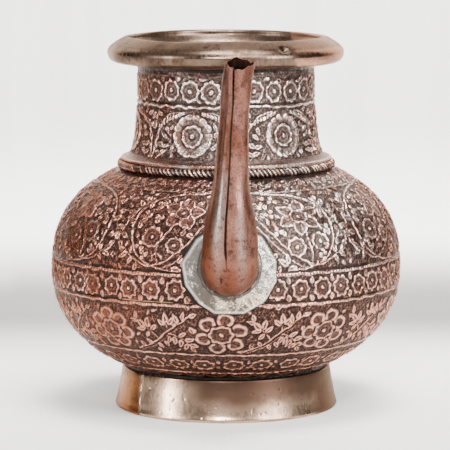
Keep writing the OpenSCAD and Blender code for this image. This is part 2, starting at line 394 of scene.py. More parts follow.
@dataclass(frozen=True)
class SpoutCopper:
    """Bare copper sheet, brown-pink, mottled and finely pitted, with grime and painted shadow along its lap,
    painted shade at its root, a darker inside and painted highlight strips.
    """
    name: str = "spout_copper"
    pink: Colour = (0.26, 0.118, 0.088)
    orange: Colour = (0.105, 0.029, 0.0105)
    bulb: Colour = (0.125, 0.036, 0.019)
    brown: Colour = (0.026, 0.0135, 0.0105)
    grey: Colour = (0.42, 0.365, 0.33)
    grime_and_shade: Colour = (0.02, 0.011, 0.009)

    def make(self) -> bpy.types.Material:
        """Build the material."""
        s = Sheet(self.name, Specular_IOR_Level=0.45, Specular_Tint=(0.90, 0.75, 0.68, 1.0))
        cloud = s.grain(7, 4, 0.62, stretch=(1.0, 1.0, 0.35))
        speck = s.grain(0.75, 4, 0.75)
        height = s.axis(2)
        pitted = (1 - s.cells(1.3).rise(0.05, 0.42)) * height.rise(0.098, 0.125) * cloud.rise(0.30, 0.46)
        low = 1 - (height + (cloud - 0.5) * 0.02).rise(0.070, 0.086)
        left = 1 - (s.axis(0) - height * 0.018 + (cloud - 0.5) * 0.005).rise(-0.0105, -0.0045)
        body = s.mix(cloud.rise(0.42, 0.62) * 0.75, self.pink, self.orange)
        body = s.mix(low * 0.9, body, self.bulb)
        body = s.mix(left * 0.9, body, self.orange)
        body = s.mix(height.rise(0.105, 0.160) * 0.30, body, self.brown)
        # Painted highlights: the marked strips down the tube are painted pale grey.
        strip = s.mark("relief")
        body = s.mix(strip * 0.8, body, self.grey)
        body = s.mix(speck.rise(0.50, 0.64) * 0.55, body, self.brown)
        body = s.mix(s.grain(3.2, 4, 0.7, shift=6.0).rise(0.50, 0.68) * 0.7, body, self.brown)
        body = s.mix(pitted * 0.85, body, self.brown)
        # Grime and painted shade from the crest mark: painted shadow and grime along the lap, painted shade
        # at the root, darker inside.
        body = s.mix(s.mark("crest").rise(0.15, 0.85), body, self.grime_and_shade)
        normal = s.bump(speck * 0.6 + s.cells(1.0).rise(0.0, 0.5) * 0.4, 0.16, 0.7)
        normal = s.bump(cloud, 1.0, 0.6, normal)
        rough = 0.27 + speck * 0.16 + pitted * 0.2 - strip * 0.06
        return s.finish(Base_Color=body, Metallic=1 - pitted * 0.4, Roughness=rough, Normal=normal)


@dataclass(frozen=True)
class WipedTin:
    """Hand-wiped tin or solder: silver, mottled grey, yellowish where the sheet shows through."""
    name: str
    silver: Colour = (0.80, 0.785, 0.75)
    grey: Colour = (0.23, 0.225, 0.215)
    straw: Colour = (0.60, 0.52, 0.37)
    spot: Colour = (0.05, 0.042, 0.036)
    grime_and_shade: Colour = (0.06, 0.045, 0.038)
    straw_below: float = 66.0
    lump: float = 5.0

    def make(self) -> bpy.types.Material:
        """Build the material."""
        s = Sheet(self.name, Specular_IOR_Level=0.5)
        cloud = s.grain(self.lump, 4, 0.62, 0.6)
        speck = s.grain(0.9, 5, 0.7, shift=4.0)
        left = 1 - s.axis(0).rise(-0.014, 0.010)
        dull = (cloud * 0.8 + speck * 0.6 + left * 0.15).rise(0.65, 0.80)
        low = 1 - s.axis(2).rise((self.straw_below - 9) * MM, (self.straw_below + 4) * MM)
        body = s.mix(dull * 0.9, s.mix(low * 0.7, self.silver, self.straw), self.grey)
        spots = (1 - s.cells(2.6).rise(0.02, 0.3)) * cloud.rise(0.45, 0.6)
        body = s.mix(spots * 0.75, body, self.spot)
        # Marked places painted silver: the plate's raised edge, a painted highlight.
        body = s.mix(s.mark("relief") * 0.7, body, self.silver)
        # Grime colour from the crest mark: painted shade round the spout's root on the plate, and grime on
        # the solder fillet.
        body = s.mix(s.mark("crest"), body, self.grime_and_shade)
        normal = s.bump(cloud, 1.6, 0.8)
        normal = s.bump(speck, 0.22, 0.7, normal)
        return s.finish(Base_Color=body, Metallic=1 - dull * 0.25, Roughness=dull * 0.2 + speck * 0.12 + 0.15,
                        Normal=normal)


class Finish(Enum):
    """The finishes of the jug's pieces, by what a maker would call them."""
    CHASED = ChasedCopper()
    # The neck's patch of old tin and painted reflection sits higher and nearer the middle.
    NECK = ChasedCopper("neck_copper", tin_and_sheen_low=96.0, tin_and_sheen_full=114.0, tin_and_sheen_most=1.0, tin_and_sheen_middle=0.010,
                        tin_and_sheen_reach=0.022)
    RIM = WornBronze("rim_bronze", (0.145, 0.096, 0.070), (0.046, 0.027, 0.018), (0.022, 0.0138, 0.010),
                     gloss=0.22, dirt=1.0, flush=(0.37, 0.19, 0.13), flush_side=1.0, flush_from=0.030,
                     flush_edge=0.002)
    # The foot's painted shade darkens its right side and its top from just left of the middle.
    FOOT = WornBronze("foot_bronze", (0.54, 0.365, 0.255), (0.115, 0.062, 0.040), (0.04, 0.022, 0.016),
                      gloss=0.17, dirt=0.45, flush=(0.19, 0.058, 0.011), flush_from=0.0385,
                      flush_edge=0.0012, painted_shade_from=0.036, painted_shade_above=0.003, edge_shine=0.15)
    INSIDE = WornBronze("worn_tinning", (0.24, 0.20, 0.175), (0.07, 0.048, 0.039), (0.03, 0.022, 0.019),
                        gloss=0.40, dirt=1.0)
    SPOUT = SpoutCopper()
    PLATE = WipedTin("tin_plate", silver=(0.66, 0.60, 0.54), grey=(0.034, 0.026, 0.022),
                     straw=(0.62, 0.46, 0.28), lump=4.4)
    SOLDER = WipedTin("tin_solder", silver=(0.20, 0.165, 0.145), grey=(0.035, 0.027, 0.023),
                      straw=(0.13, 0.095, 0.068))
    CREVICE = WipedTin("dirty_solder", silver=(0.016, 0.012, 0.010), grey=(0.008, 0.006, 0.005),
                       straw=(0.010, 0.008, 0.006))
    SPELTER = WornBronze("spelter", (0.30, 0.19, 0.10), (0.12, 0.07, 0.035), (0.04, 0.02, 0.015),
                         gloss=0.4, dirt=0.6)

    def material(self) -> bpy.types.Material:
        """The finish's material, made once."""
        name = "worn_" + self.value.name
        if name not in bpy.data.materials:
            self.value.make().name = name
        return bpy.data.materials[name]


# ---------------------------------------------------------------------------------------------
# Meshes of rings of points
# ---------------------------------------------------------------------------------------------

class Piece:
    """A finished mesh on its way to the jug."""

    def __init__(self, name: str, mesh: bpy.types.Mesh) -> None:
        self.name = name
        self.object = bpy.data.objects.new(name, mesh)
        bpy.context.scene.collection.objects.link(self.object)

    def mark(self, attribute: str, values: np.ndarray) -> "Piece":
        """Store a value on every point."""
        layer = self.object.data.attributes.new(attribute, "FLOAT", "POINT")
        layer.data.foreach_set("value", np.ascontiguousarray(values, np.float32).ravel())
        return self

    def dress(self, *finishes: Finish) -> "Piece":
        """Give the piece its materials, in the order of its faces' numbers."""
        self.object.data.materials.clear()
        for finish in finishes:
            self.object.data.materials.append(finish.material())
        return self

    def smooth(self, sharpest: float = 60.0) -> "Piece":
        """Shade the piece smooth but for edges sharper than an angle in degrees."""
        self.object.data.shade_smooth()
        self.object.data.set_sharp_from_angle(angle=math.radians(sharpest))
        return self

    def deliver(self, slot: str, node: str) -> None:
        """Fix the piece to the jug in place of a CAD node, and report it."""
        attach(self.object, "root")
        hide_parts(node)
        LOG.info("%s: %d faces", self.name, len(self.object.data.polygons))


def turned(radius: np.ndarray, height: np.ndarray, azimuth: np.ndarray) -> np.ndarray:
    """Points about the jug's axis, from radii, heights and azimuths counted from the spout to +X."""
    return np.stack([radius * np.sin(azimuth), -radius * np.cos(azimuth), height + 0 * azimuth], -1)


def ring_mesh(name: str, rings: np.ndarray, round_trip: bool = True,
              inner_from: int | None = None) -> bpy.types.Mesh:
    """A closed mesh through rings of points, where the last ring joins the first.

    Args:
        name: The mesh's name.
        rings: Points in millimetres, as rings by points by 3.
        round_trip: Whether each ring closes on itself. If not, its two ends are closed with flat walls.
        inner_from: The first row of faces that takes the second material.

    Returns:
        The mesh, in metres, with its faces outwards.
    """
    count, around = rings.shape[:2]
    number = np.arange(count * around).reshape(count, around)
    below, above = number, np.roll(number, -1, 0)
    if round_trip:
        quads = np.stack([below, np.roll(below, -1, 1), np.roll(above, -1, 1), above], -1)
    else:
        quads = np.stack([below[:, :-1], below[:, 1:], above[:, 1:], above[:, :-1]], -1)
    per_row = quads.shape[1]
    quads = quads.reshape(-1, 4)
    ends = [] if round_trip else [number[:, 0], number[::-1, -1]]
    a, b, c, d = np.moveaxis(rings.reshape(-1, 3)[quads], 1, 0)
    volume = np.einsum("ij,ij->", a, np.cross(b, c) + np.cross(c, d))
    if volume < 0:
        quads = quads[:, ::-1]
        ends = [end[::-1] for end in ends]
    mesh = bpy.data.meshes.new(name)
    mesh.vertices.add(count * around)
    mesh.vertices.foreach_set("co", (rings * MM).astype(np.float32).ravel())
    corners = np.concatenate([quads.ravel(), *ends]).astype(np.int32)
    starts = np.concatenate([np.arange(len(quads)) * 4, len(quads) * 4 + np.arange(len(ends)) * count])
    mesh.loops.add(len(corners))
    mesh.loops.foreach_set("vertex_index", corners)
    mesh.polygons.add(len(quads) + len(ends))
    mesh.polygons.foreach_set("loop_start", starts.astype(np.int32))
    if inner_from is not None:
        slots = np.zeros(len(quads) + len(ends), np.int32)
        slots[inner_from * per_row:len(quads)] = 1
        mesh.polygons.foreach_set("material_index", slots)
    mesh.update(calc_edges=True)
    return mesh


class Profile:
    """An outline turned about the jug's axis, walked by arc length in millimetres."""

    def __init__(self, radii: np.ndarray, heights: np.ndarray) -> None:
        self.radii, self.heights = np.asarray(radii, float), np.asarray(heights, float)
        steps = np.hypot(np.diff(self.radii), np.diff(self.heights))
        self.arcs = np.concatenate([[0.0], np.cumsum(steps)])

    def arc_at(self, height: float) -> float:
        """Arc length at which the outline first reaches a height."""
        return float(np.interp(height, self.heights, self.arcs))

    def spot(self, arc: np.ndarray | float) -> tuple[np.ndarray, np.ndarray]:
        """Radius and height at an arc length."""
        return np.interp(arc, self.arcs, self.radii), np.interp(arc, self.arcs, self.heights)

    def outward(self, arc: np.ndarray) -> tuple[np.ndarray, np.ndarray]:
        """The outline's normal at an arc length, as radial and upward parts."""
        (r0, z0), (r1, z1) = self.spot(arc - 0.5), self.spot(arc + 0.5)
        length = np.hypot(r1 - r0, z1 - z0) + 1e-9
        return (z1 - z0) / length, (r0 - r1) / length


# ---------------------------------------------------------------------------------------------
# Chased figures
# ---------------------------------------------------------------------------------------------

@dataclass(frozen=True)
class Figure:
    """A chased figure about its own centre, in millimetres, with heights from 0 at the ground to 1."""
    size: float

    def cleared(self) -> float:
        """Radius of the ground that is cleared for the figure."""
        return 0.0

    def height(self, u: np.ndarray, v: np.ndarray) -> np.ndarray:
        """The figure's height at points right of (u) and above (v) its centre."""
        raise NotImplementedError

    def polar(self, u: np.ndarray, v: np.ndarray, petals: int) -> tuple[np.ndarray, np.ndarray, np.ndarray]:
        """Distance from the centre, and places along and across the nearest of some petals."""
        rho, turn = np.hypot(u, v), 2 * np.pi / petals
        off = (np.arctan2(v, u) + turn / 2) % turn - turn / 2
        return rho, rho * np.cos(off), rho * np.sin(off)


@dataclass(frozen=True)
class Rosette(Figure):
    """A ring of petals with raised tips, about a sunk eye with spokes and a bead."""
    petals: int = 8
    eye: float = 0.37
    bead: float = 0.2
    points: float = 0.24

    def cleared(self) -> float:
        """Radius of the ground that is cleared for the figure."""
        return self.size * 0.82

    def height(self, u: np.ndarray, v: np.ndarray) -> np.ndarray:
        """The figure's height."""
        rho, along, across = self.polar(u, v, self.petals)
        half = rho * math.tan(math.pi / self.petals)
        part = np.abs(across) / (half + 1e-6)
        edge = self.size * (1 - self.points * part ** 1.25)
        inner = self.size * self.eye
        t = (rho - inner) / (edge - inner)
        petals = (0.36 + 0.64 * smooth(0.40, 0.90, t)) * plateau(rho, inner, edge, 0.32)
        split = ridge(half - np.abs(across), 0.42)
        petals = petals * (1 - 0.62 * split * (1 - smooth(0.72, 1.0, t)))
        hub = 0.5 * ridge(rho - inner, 0.42)
        return np.maximum.reduce([petals, hub, dome(rho, self.size * self.bead)])


@dataclass(frozen=True)
class LobedFlower(Figure):
    """A rosette inside a ring of open round lobes."""
    lobes: int = 6

    def cleared(self) -> float:
        """Radius of the ground that is cleared for the figure."""
        return self.size * 0.94

    def height(self, u: np.ndarray, v: np.ndarray) -> np.ndarray:
        """The figure's height."""
        rho, along, across = self.polar(u, v, self.lobes)
        off = np.hypot((along - 0.70 * self.size) * 0.95, across * 0.90)
        outer = smooth(0.46 * self.size, 0.56 * self.size, rho)
        band = ridge(off - 0.225 * self.size, 0.135 * self.size) * outer
        vein = 0.25 * ridge(across, 0.5)
        dish = (0.46 - vein) * smooth(0.26 * self.size, 0.16 * self.size, off) * outer
        core = Rosette(0.50 * self.size, 8, 0.36, 0.2, 0.20).height(u, v)
        return np.maximum.reduce([core, band, dish])


@dataclass(frozen=True)
class StarFlower(Figure):
    """Broad pointed petals with raised edges about a small rosette."""
    petals: int = 6
    broad: float = 0.31

    def cleared(self) -> float:
        """Radius of the ground that is cleared for the figure."""
        return self.size * 0.85

    def height(self, u: np.ndarray, v: np.ndarray) -> np.ndarray:
        """The figure's height."""
        rho, along, across = self.polar(u, v, self.petals)
        t = np.clip((along / self.size - 0.22) / 0.80, 0, 1)
        inside = self.size * self.broad * np.sin(np.pi * t ** 0.80) ** 0.9 - np.abs(across)
        on = (t > 0) & (t < 1)
        vein = 0.25 * ridge(across, 0.5) * (t < 0.85)
        edge = 0.52 * smooth(-0.15, 0.45, inside) + 0.48 * ridge(inside - 0.58, 0.82)
        petal = (edge - vein * smooth(0, 1, inside)) * on
        return np.maximum(petal * smooth(0.36 * self.size, 0.44 * self.size, rho),
                          Rosette(0.41 * self.size, 8, 0.42, 0.26, 0.16).height(u, v))


@dataclass(frozen=True)
class Daisy(Figure):
    """A wide fluted ring of many petals about a rosette."""
    petals: int = 15

    def cleared(self) -> float:
        """Radius of the ground that is cleared for the figure."""
        return self.size * 0.97

    def height(self, u: np.ndarray, v: np.ndarray) -> np.ndarray:
        """The figure's height."""
        rho, along, across = self.polar(u, v, self.petals)
        half = rho * math.tan(math.pi / self.petals)
        edge = self.size * (1 - 0.075 * (np.abs(across) / (half + 1e-6)) ** 2)
        slope = 0.46 + 0.54 * smooth(0.62 * self.size, 0.92 * self.size, rho)
        groove = 1 - 0.45 * ridge(half - np.abs(across), 0.42)
        flute = plateau(rho, 0.60 * self.size, edge, 0.35) * slope * groove
        core = Rosette(0.54 * self.size, 9, 0.44, 0.22, 0.13).height(u, v)
        return np.maximum(flute, core)


@dataclass(frozen=True)
class Leaf(Figure):
    """A plump pointed leaf that grows along +u from its stalk, slit down its middle if it is big."""
    width: float = 0.50

    def height(self, u: np.ndarray, v: np.ndarray) -> np.ndarray:
        """The figure's height."""
        t = np.clip(u / self.size, 0, 1)
        half = 0.5 * self.width * self.size * np.sin(np.pi * t ** 0.75) ** 0.8 + 0.12
        on = (u > -0.05 * self.size) & (u < 1.06 * self.size)
        deep = 0.62 if self.size > 3.3 else 0.2
        slit = deep * ridge(v, 0.46) * smooth(0.05, 0.30, t) * smooth(0.95, 0.65, t)
        return smooth(-0.30, 0.34, half - np.abs(v)) * (1 - slit) * on


@dataclass(frozen=True)
class Floret(Figure):
    """Three plump lobes on a short stalk, like a clover."""

    def height(self, u: np.ndarray, v: np.ndarray) -> np.ndarray:
        """The figure's height."""
        lobes = []
        for a in (math.pi / 2, math.pi * 7 / 6, math.pi * 11 / 6):
            off = np.hypot(u - 0.52 * self.size * math.cos(a), v - 0.52 * self.size * math.sin(a))
            lobes.append(smooth(0.48 * self.size, 0.30 * self.size, off) - 0.6 * ridge(off, 0.5))
        return np.maximum.reduce([*lobes, 0.7 * dome(np.hypot(u, v), 0.5)])


@dataclass(frozen=True)
class Cup(Figure):
    """The open cup at the foot of a flower stem, a half ring with two small horns."""

    def height(self, u: np.ndarray, v: np.ndarray) -> np.ndarray:
        """The figure's height."""
        rho = np.hypot(u, v)
        bowl = ridge(rho - 0.7 * self.size, 0.75) * smooth(0.3, -0.2, v / self.size)
        middle = 0.8 * ridge(u, 0.45) * (v < 0.5 * self.size) * (v > -0.7 * self.size)
        return np.maximum(bowl, middle)


@dataclass(frozen=True)
class Scallop(Figure):
    """An arched leaf edge that hangs under a border, with a small leaf in its arch."""

    def height(self, u: np.ndarray, v: np.ndarray) -> np.ndarray:
        """The figure's height."""
        arch = ridge(np.hypot(u / self.size, v / (self.size * 1.15)) - 1, 0.17) * (v < 0)
        leaf = 0.7 * ridge(np.hypot(u / (0.45 * self.size), (v + 0.42 * self.size) / (0.42 * self.size)), 1.1)
        return np.maximum(arch, leaf)


@dataclass(frozen=True)
class Scroll(Figure):
    """A small curl: most of a ring with a tail."""

    def height(self, u: np.ndarray, v: np.ndarray) -> np.ndarray:
        """The figure's height."""
        rho, turn = np.hypot(u, v), np.arctan2(v, u)
        coil = ridge(rho - self.size * (0.28 + 0.10 * (turn + np.pi)), 0.5)
        return coil * (rho < 1.05 * self.size)


# ---------------------------------------------------------------------------------------------
# The chased skin
# ---------------------------------------------------------------------------------------------

@dataclass
class Skin:
    """A strip of a turned wall, chased on its outside and plain inside.

    Heights are in millimetres. The sector, in degrees of azimuth, is the whole round if it is None.
    """
    name: str
    profile: Profile
    low: float
    high: float
    wall: float = 1.2
    cell: float = 0.38
    sector: tuple[float, float] | None = None
    rise: float = 0.85
    sink: float = 0.42
    seed: int = 1
    inner_rows: int = 7
    relief: np.ndarray = field(init=False)

    def __post_init__(self) -> None:
        """Lay the grid out and leave it plain ground."""
        ends = self.profile.arc_at(self.low), self.profile.arc_at(self.high)
        self.arc = np.linspace(*ends, max(3, math.ceil((ends[1] - ends[0]) / self.cell)))
        self.radius, _ = self.profile.spot(self.arc)
        if self.sector is None:
            count = math.ceil(2 * math.pi * self.radius.max() / self.cell)
            self.azimuth = np.arange(count) * 2 * math.pi / count - math.pi
        else:
            start, stop = map(math.radians, self.sector)
            count = math.ceil((stop - start) * self.radius.max() / self.cell)
            self.azimuth = np.linspace(start, stop, count)
        self.relief = np.zeros((len(self.arc), len(self.azimuth)))
        self.slips = [0.13 * self.dents(6.5, seed) + 0.05 * self.dents(2.8, seed + 10) for seed in (81, 82)]

    def dents(self, size: float, seed: int) -> np.ndarray:
        """The hammer's unevenness at every point of the grid."""
        return hammered(self.azimuth[None, :], self.arc[:, None], self.profile.radii.max(), size, seed)

    def window(self, azimuth: float, arc: float, reach: float) -> tuple[tuple, np.ndarray, np.ndarray]:
        """The part of the grid near a place.

        Args:
            azimuth: The place's azimuth in radians.
            arc: The place's arc length.
            reach: Half the width of the part.

        Returns:
            The part's index, and how far its points are right of and above the place.
        """
        off = off_from(self.azimuth, azimuth)
        columns = np.nonzero(np.abs(off) * self.radius.max() < reach * 1.3)[0]
        rows = np.nonzero(np.abs(self.arc - arc) < reach)[0]
        part = np.ix_(rows, columns)
        u = off[columns][None, :] * self.radius[rows][:, None] + self.slips[0][part]
        return part, u, (self.arc[rows] - arc)[:, None] + self.slips[1][part]

    def stamp(self, figure: Figure, azimuth: float, arc: float, turn: float = 0.0, level: float = 1.0,
              squash: tuple[float, float] = (1.0, 1.0)) -> None:
        """Chase a figure.

        Args:
            figure: What is chased.
            azimuth: Its centre's azimuth in degrees.
            arc: Its centre's arc length.
            turn: How far it is turned, in degrees.
            level: Its height.
            squash: Its width and height over its size.
        """
        index, u, v = self.window(math.radians(azimuth), arc, figure.size * 1.3 * max(squash) + 1)
        if not u.size:
            return
        u, v = u / squash[0], v / squash[1]
        a = math.radians(turn)
        u, v = u * math.cos(a) + v * math.sin(a), v * math.cos(a) - u * math.sin(a)
        under = self.relief[index] * smooth(figure.cleared() - 0.4, figure.cleared() + 0.1, np.hypot(u, v))
        self.relief[index] = np.maximum(under, figure.height(u, v) * level)

    def draw(self, azimuth: float, arc: float, line: np.ndarray, half: float, level: float = 0.9,
             taper: float = 0.6) -> None:
        """Chase a line through points right of and above a place, thinning to a taper at its end."""
        reach = float(np.abs(line).max()) + 2
        index, u, v = self.window(math.radians(azimuth), arc, reach)
        if not u.size:
            return
        best = np.zeros(u.shape)
        for k, (start, stop) in enumerate(zip(line[:-1], line[1:])):
            way = stop - start
            t = np.clip(((u - start[0]) * way[0] + (v - start[1]) * way[1]) / (way @ way + 1e-9), 0, 1)
            away = np.hypot(u - start[0] - t * way[0], v - start[1] - t * way[1])
            best = np.maximum(best, ridge(away, half * (1 - (1 - taper) * k / len(line))))
        self.relief[index] = np.maximum(self.relief[index], best * level)

    def line_off(self, height: float, waver: int) -> np.ndarray:
        """How far every point is above a hand-drawn line round the wall at a height."""
        middle = self.profile.arc_at(height) + 0.22 * wander(self.azimuth, waver, 6, 3)
        return self.arc[:, None] + 1.4 * self.slips[1] - middle[None, :]

    def border(self, height: float, half: float, level: float = 1.0, waver: int = 3) -> None:
        """Chase a raised line all round at a height."""
        line = ridge(self.line_off(height, waver), half * (0.90 + 0.12 * self.dents(5, 85)))
        self.relief = np.maximum(self.relief, line * level)

    def dots(self, height: float, count: int, radius: float, depth: float) -> None:
        """Punch a row of dots all round at a height."""
        pitch = 2 * math.pi / count
        along = ((self.azimuth + pitch / 2) % pitch - pitch / 2)[None, :] * self.radius[:, None]
        away = np.hypot(along + self.slips[0], self.line_off(height, 3))
        self.relief *= 1 - depth * ridge(away, radius)

    def scatter(self, tries: int, low: float, high: float, lengths: tuple[float, float] = (2.6, 3.8),
                slopes: tuple[float, float] = (-180, 180), roomy: float = 1.5) -> None:
        """Fill the bare ground with small leaves and curls.

        Args:
            tries: How many places are tried.
            low: The lowest height of a place.
            high: The highest.
            lengths: The shortest and longest leaf.
            slopes: The range of the leaves' turns in degrees.
            roomy: How far from other figures a leaf's middle must stay.
        """
        rng = np.random.default_rng(self.seed + 100)
        ends = [self.profile.arc_at(low), self.profile.arc_at(high)]
        rows = np.clip(np.interp(ends, self.arc, np.arange(len(self.arc))), 2, len(self.arc) - 3)
        near = max(1, round(roomy / self.cell))
        for _ in range(tries):
            row, column = int(rng.uniform(*rows)), int(rng.integers(near, len(self.azimuth) - near))
            if self.relief[max(0, row - near):row + near + 1, column - near:column + near + 1].max() > 0.4:
                continue
            length, turn = rng.uniform(*lengths), rng.uniform(*slopes)
            side = length / 2 / self.radius[row]
            a = math.radians(turn)
            azimuth = math.degrees(self.azimuth[column] - side * math.cos(a))
            arc = self.arc[row] - length / 2 * math.sin(a)
            figure = Leaf(length, rng.uniform(0.36, 0.56)) if rng.random() < 0.75 else Scroll(length * 0.45)
            self.stamp(figure, azimuth, arc, turn, rng.uniform(0.65, 0.95))

    def punched(self, pitch: float = 1.2, level: float = 0.40) -> np.ndarray:
        """Heights of a ground punched all over with small round pits, in uneven rows."""
        rng = np.random.default_rng(self.seed)
        step = pitch * 0.87
        count = round(2 * math.pi * self.radius.mean() / pitch)
        rows = math.ceil((self.arc[-1] - self.arc[0]) / step) + 4
        jitter = rng.uniform(-0.3, 0.3, (2, rows, count))
        bright = rng.uniform(0.35, 1.25, (rows, count))
        across = (self.azimuth / (2 * math.pi) * count)[None, :]
        up = (self.arc - self.arc[0])[:, None] / step + 1
        nearest, glow = np.full(self.relief.shape, 9.0), np.zeros(self.relief.shape)
        for di in (-1, 0, 1):
            row = np.clip(np.floor(up).astype(int) + di, 0, rows - 1)
            shift = 0.5 * (row % 2)
            for dj in (-1, 0, 1):
                column = np.floor(across - shift).astype(int) + dj
                wrapped = column % count
                beside = across - column - shift - 0.5 - jitter[0][row, wrapped]
                beside = beside * pitch * self.radius[:, None]
                above = (up - row - 0.5 - jitter[1][row, wrapped]) * pitch * 0.87
                away = np.hypot(beside / self.radius.mean(), above)
                glow = np.where(away < nearest, bright[row, wrapped], glow)
                nearest = np.minimum(nearest, away)
        return level * (1 - ridge(nearest, pitch * 0.62)) * glow

    def blurred(self, passes: int = 12) -> np.ndarray:
        """The relief, softened over about a millimetre."""
        soft = self.relief
        for _ in range(passes):
            soft = (np.roll(soft, 1, 1) + 2 * soft + np.roll(soft, -1, 1)) / 4
            padded = np.pad(soft, ((1, 1), (0, 0)), "edge")
            soft = (padded[:-2] + 2 * padded[1:-1] + padded[2:]) / 4
        return soft

    def piece(self, outside: Finish) -> Piece:
        """Raise the relief, back it with the inner wall and dress the piece."""
        self.relief = self.relief * (1 - 0.26 * np.clip(0.3 + 0.55 * self.dents(3.0, 83), 0, 1))
        inset = np.minimum(np.arange(len(self.arc)), np.arange(len(self.arc))[::-1])[:, None]
        bare = (1 - smooth(0.12, 0.5, self.relief)) * np.clip(inset / 3, 0, 1)
        self.relief = np.maximum(self.relief, self.punched() * bare)
        lift = self.rise * self.relief - self.sink
        r, z = self.profile.spot(self.arc)
        lump = 0.35 * wander(self.azimuth, 11, 4, 2)[None, :] * np.sin(z / 23)[:, None]
        nr, nz = self.profile.outward(self.arc)
        out = lift + lump + 0.05 * self.dents(7.0, 84)
        az = self.azimuth[None, :]
        outer = turned(r[:, None] + nr[:, None] * out, z[:, None] + nz[:, None] * out, az)
        back = np.linspace(self.arc[-1], self.arc[0], self.inner_rows)
        r, z = self.profile.spot(back)
        nr, nz = self.profile.outward(back)
        inner = turned((r - nr * self.wall)[:, None], (z - nz * self.wall)[:, None], az)
        rings = np.concatenate([outer, inner])
        made = Piece(self.name, ring_mesh(self.name, rings, self.sector is None, len(self.arc) - 1))
        rest = np.zeros(inner.shape[:2])
        crest = np.clip((self.relief - self.blurred()) * 2.2, -1, 1)
        made.mark("relief", np.concatenate([self.relief, rest])).mark("crest", np.concatenate([crest, rest]))
        return made.dress(outside, Finish.INSIDE).smooth(72)


def rounded(p: np.ndarray, steps: int) -> np.ndarray:
    """A smooth line (Catmull-Rom) from the second of some points to the last but one."""
    t = np.linspace(0, 1, steps, endpoint=False)[:, None]
    return np.concatenate([0.5 * (2 * b + (c - a) * t + (2 * a - 5 * b + 4 * c - d) * t ** 2
                                  + (3 * b - a - 3 * c + d) * t ** 3)
                           for a, b, c, d in zip(p[:-3], p[1:-2], p[2:-1], p[3:])])


def curve(points: Points, steps: int = 7) -> np.ndarray:
    """An open smooth line through a few points."""
    p = np.array([points[0], *points, points[-1]], float)
    return np.concatenate([rounded(p, steps), p[-1:]])


def closed_curve(points: Points, step: float) -> np.ndarray:
    """A closed outline, rounded through its points and walked in even steps of about a length."""
    line = rounded(np.array([points[-1], *points, points[0], points[1]], float), 12)
    line = np.concatenate([line, line[:1]])
    arc = np.concatenate([[0], np.cumsum(np.hypot(*np.diff(line, axis=0).T))])
    even = np.linspace(0, arc[-1], int(arc[-1] / step), endpoint=False)
    return np.stack([np.interp(even, arc, line[:, 0]), np.interp(even, arc, line[:, 1])], -1)


@dataclass
class Panel:
    """A composition about a place on a skin, which may be mirrored or widened."""
    skin: Skin
    azimuth: float
    height: float
    mirror: bool = False
    widen: float = 1.0

    def __post_init__(self) -> None:
        """Find the panel's arc length."""
        self.arc = self.skin.profile.arc_at(self.height)
        self.side = -self.widen if self.mirror else self.widen

    def put(self, figure: Figure, u: float, v: float, turn: float = 0.0, **looks: object) -> None:
        """Chase a figure right of and above the panel's middle."""
        radius, _ = self.skin.profile.spot(self.arc + v)
        turn = 180 - turn if self.mirror else turn
        azimuth = self.azimuth + math.degrees(u * self.side / radius)
        self.skin.stamp(figure, azimuth, self.arc + v, turn, **looks)

    def stem(self, points: Points, half: float = 0.62, level: float = 0.9, taper: float = 0.6) -> None:
        """Chase a curved line through a few points of the panel."""
        line = curve(points) * np.array([self.side, 1.0])
        self.skin.draw(self.azimuth, self.arc, line, half, level, taper)

    def leaves(self, *places: tuple[float, float, float, float], width: float = 0.52) -> None:
        """Chase leaves, each given by its stalk's place, its turn in degrees and its length."""
        for u, v, turn, length in places:
            self.put(Leaf(length, width), u, v, turn)


# ---------------------------------------------------------------------------------------------
# The belly
# ---------------------------------------------------------------------------------------------

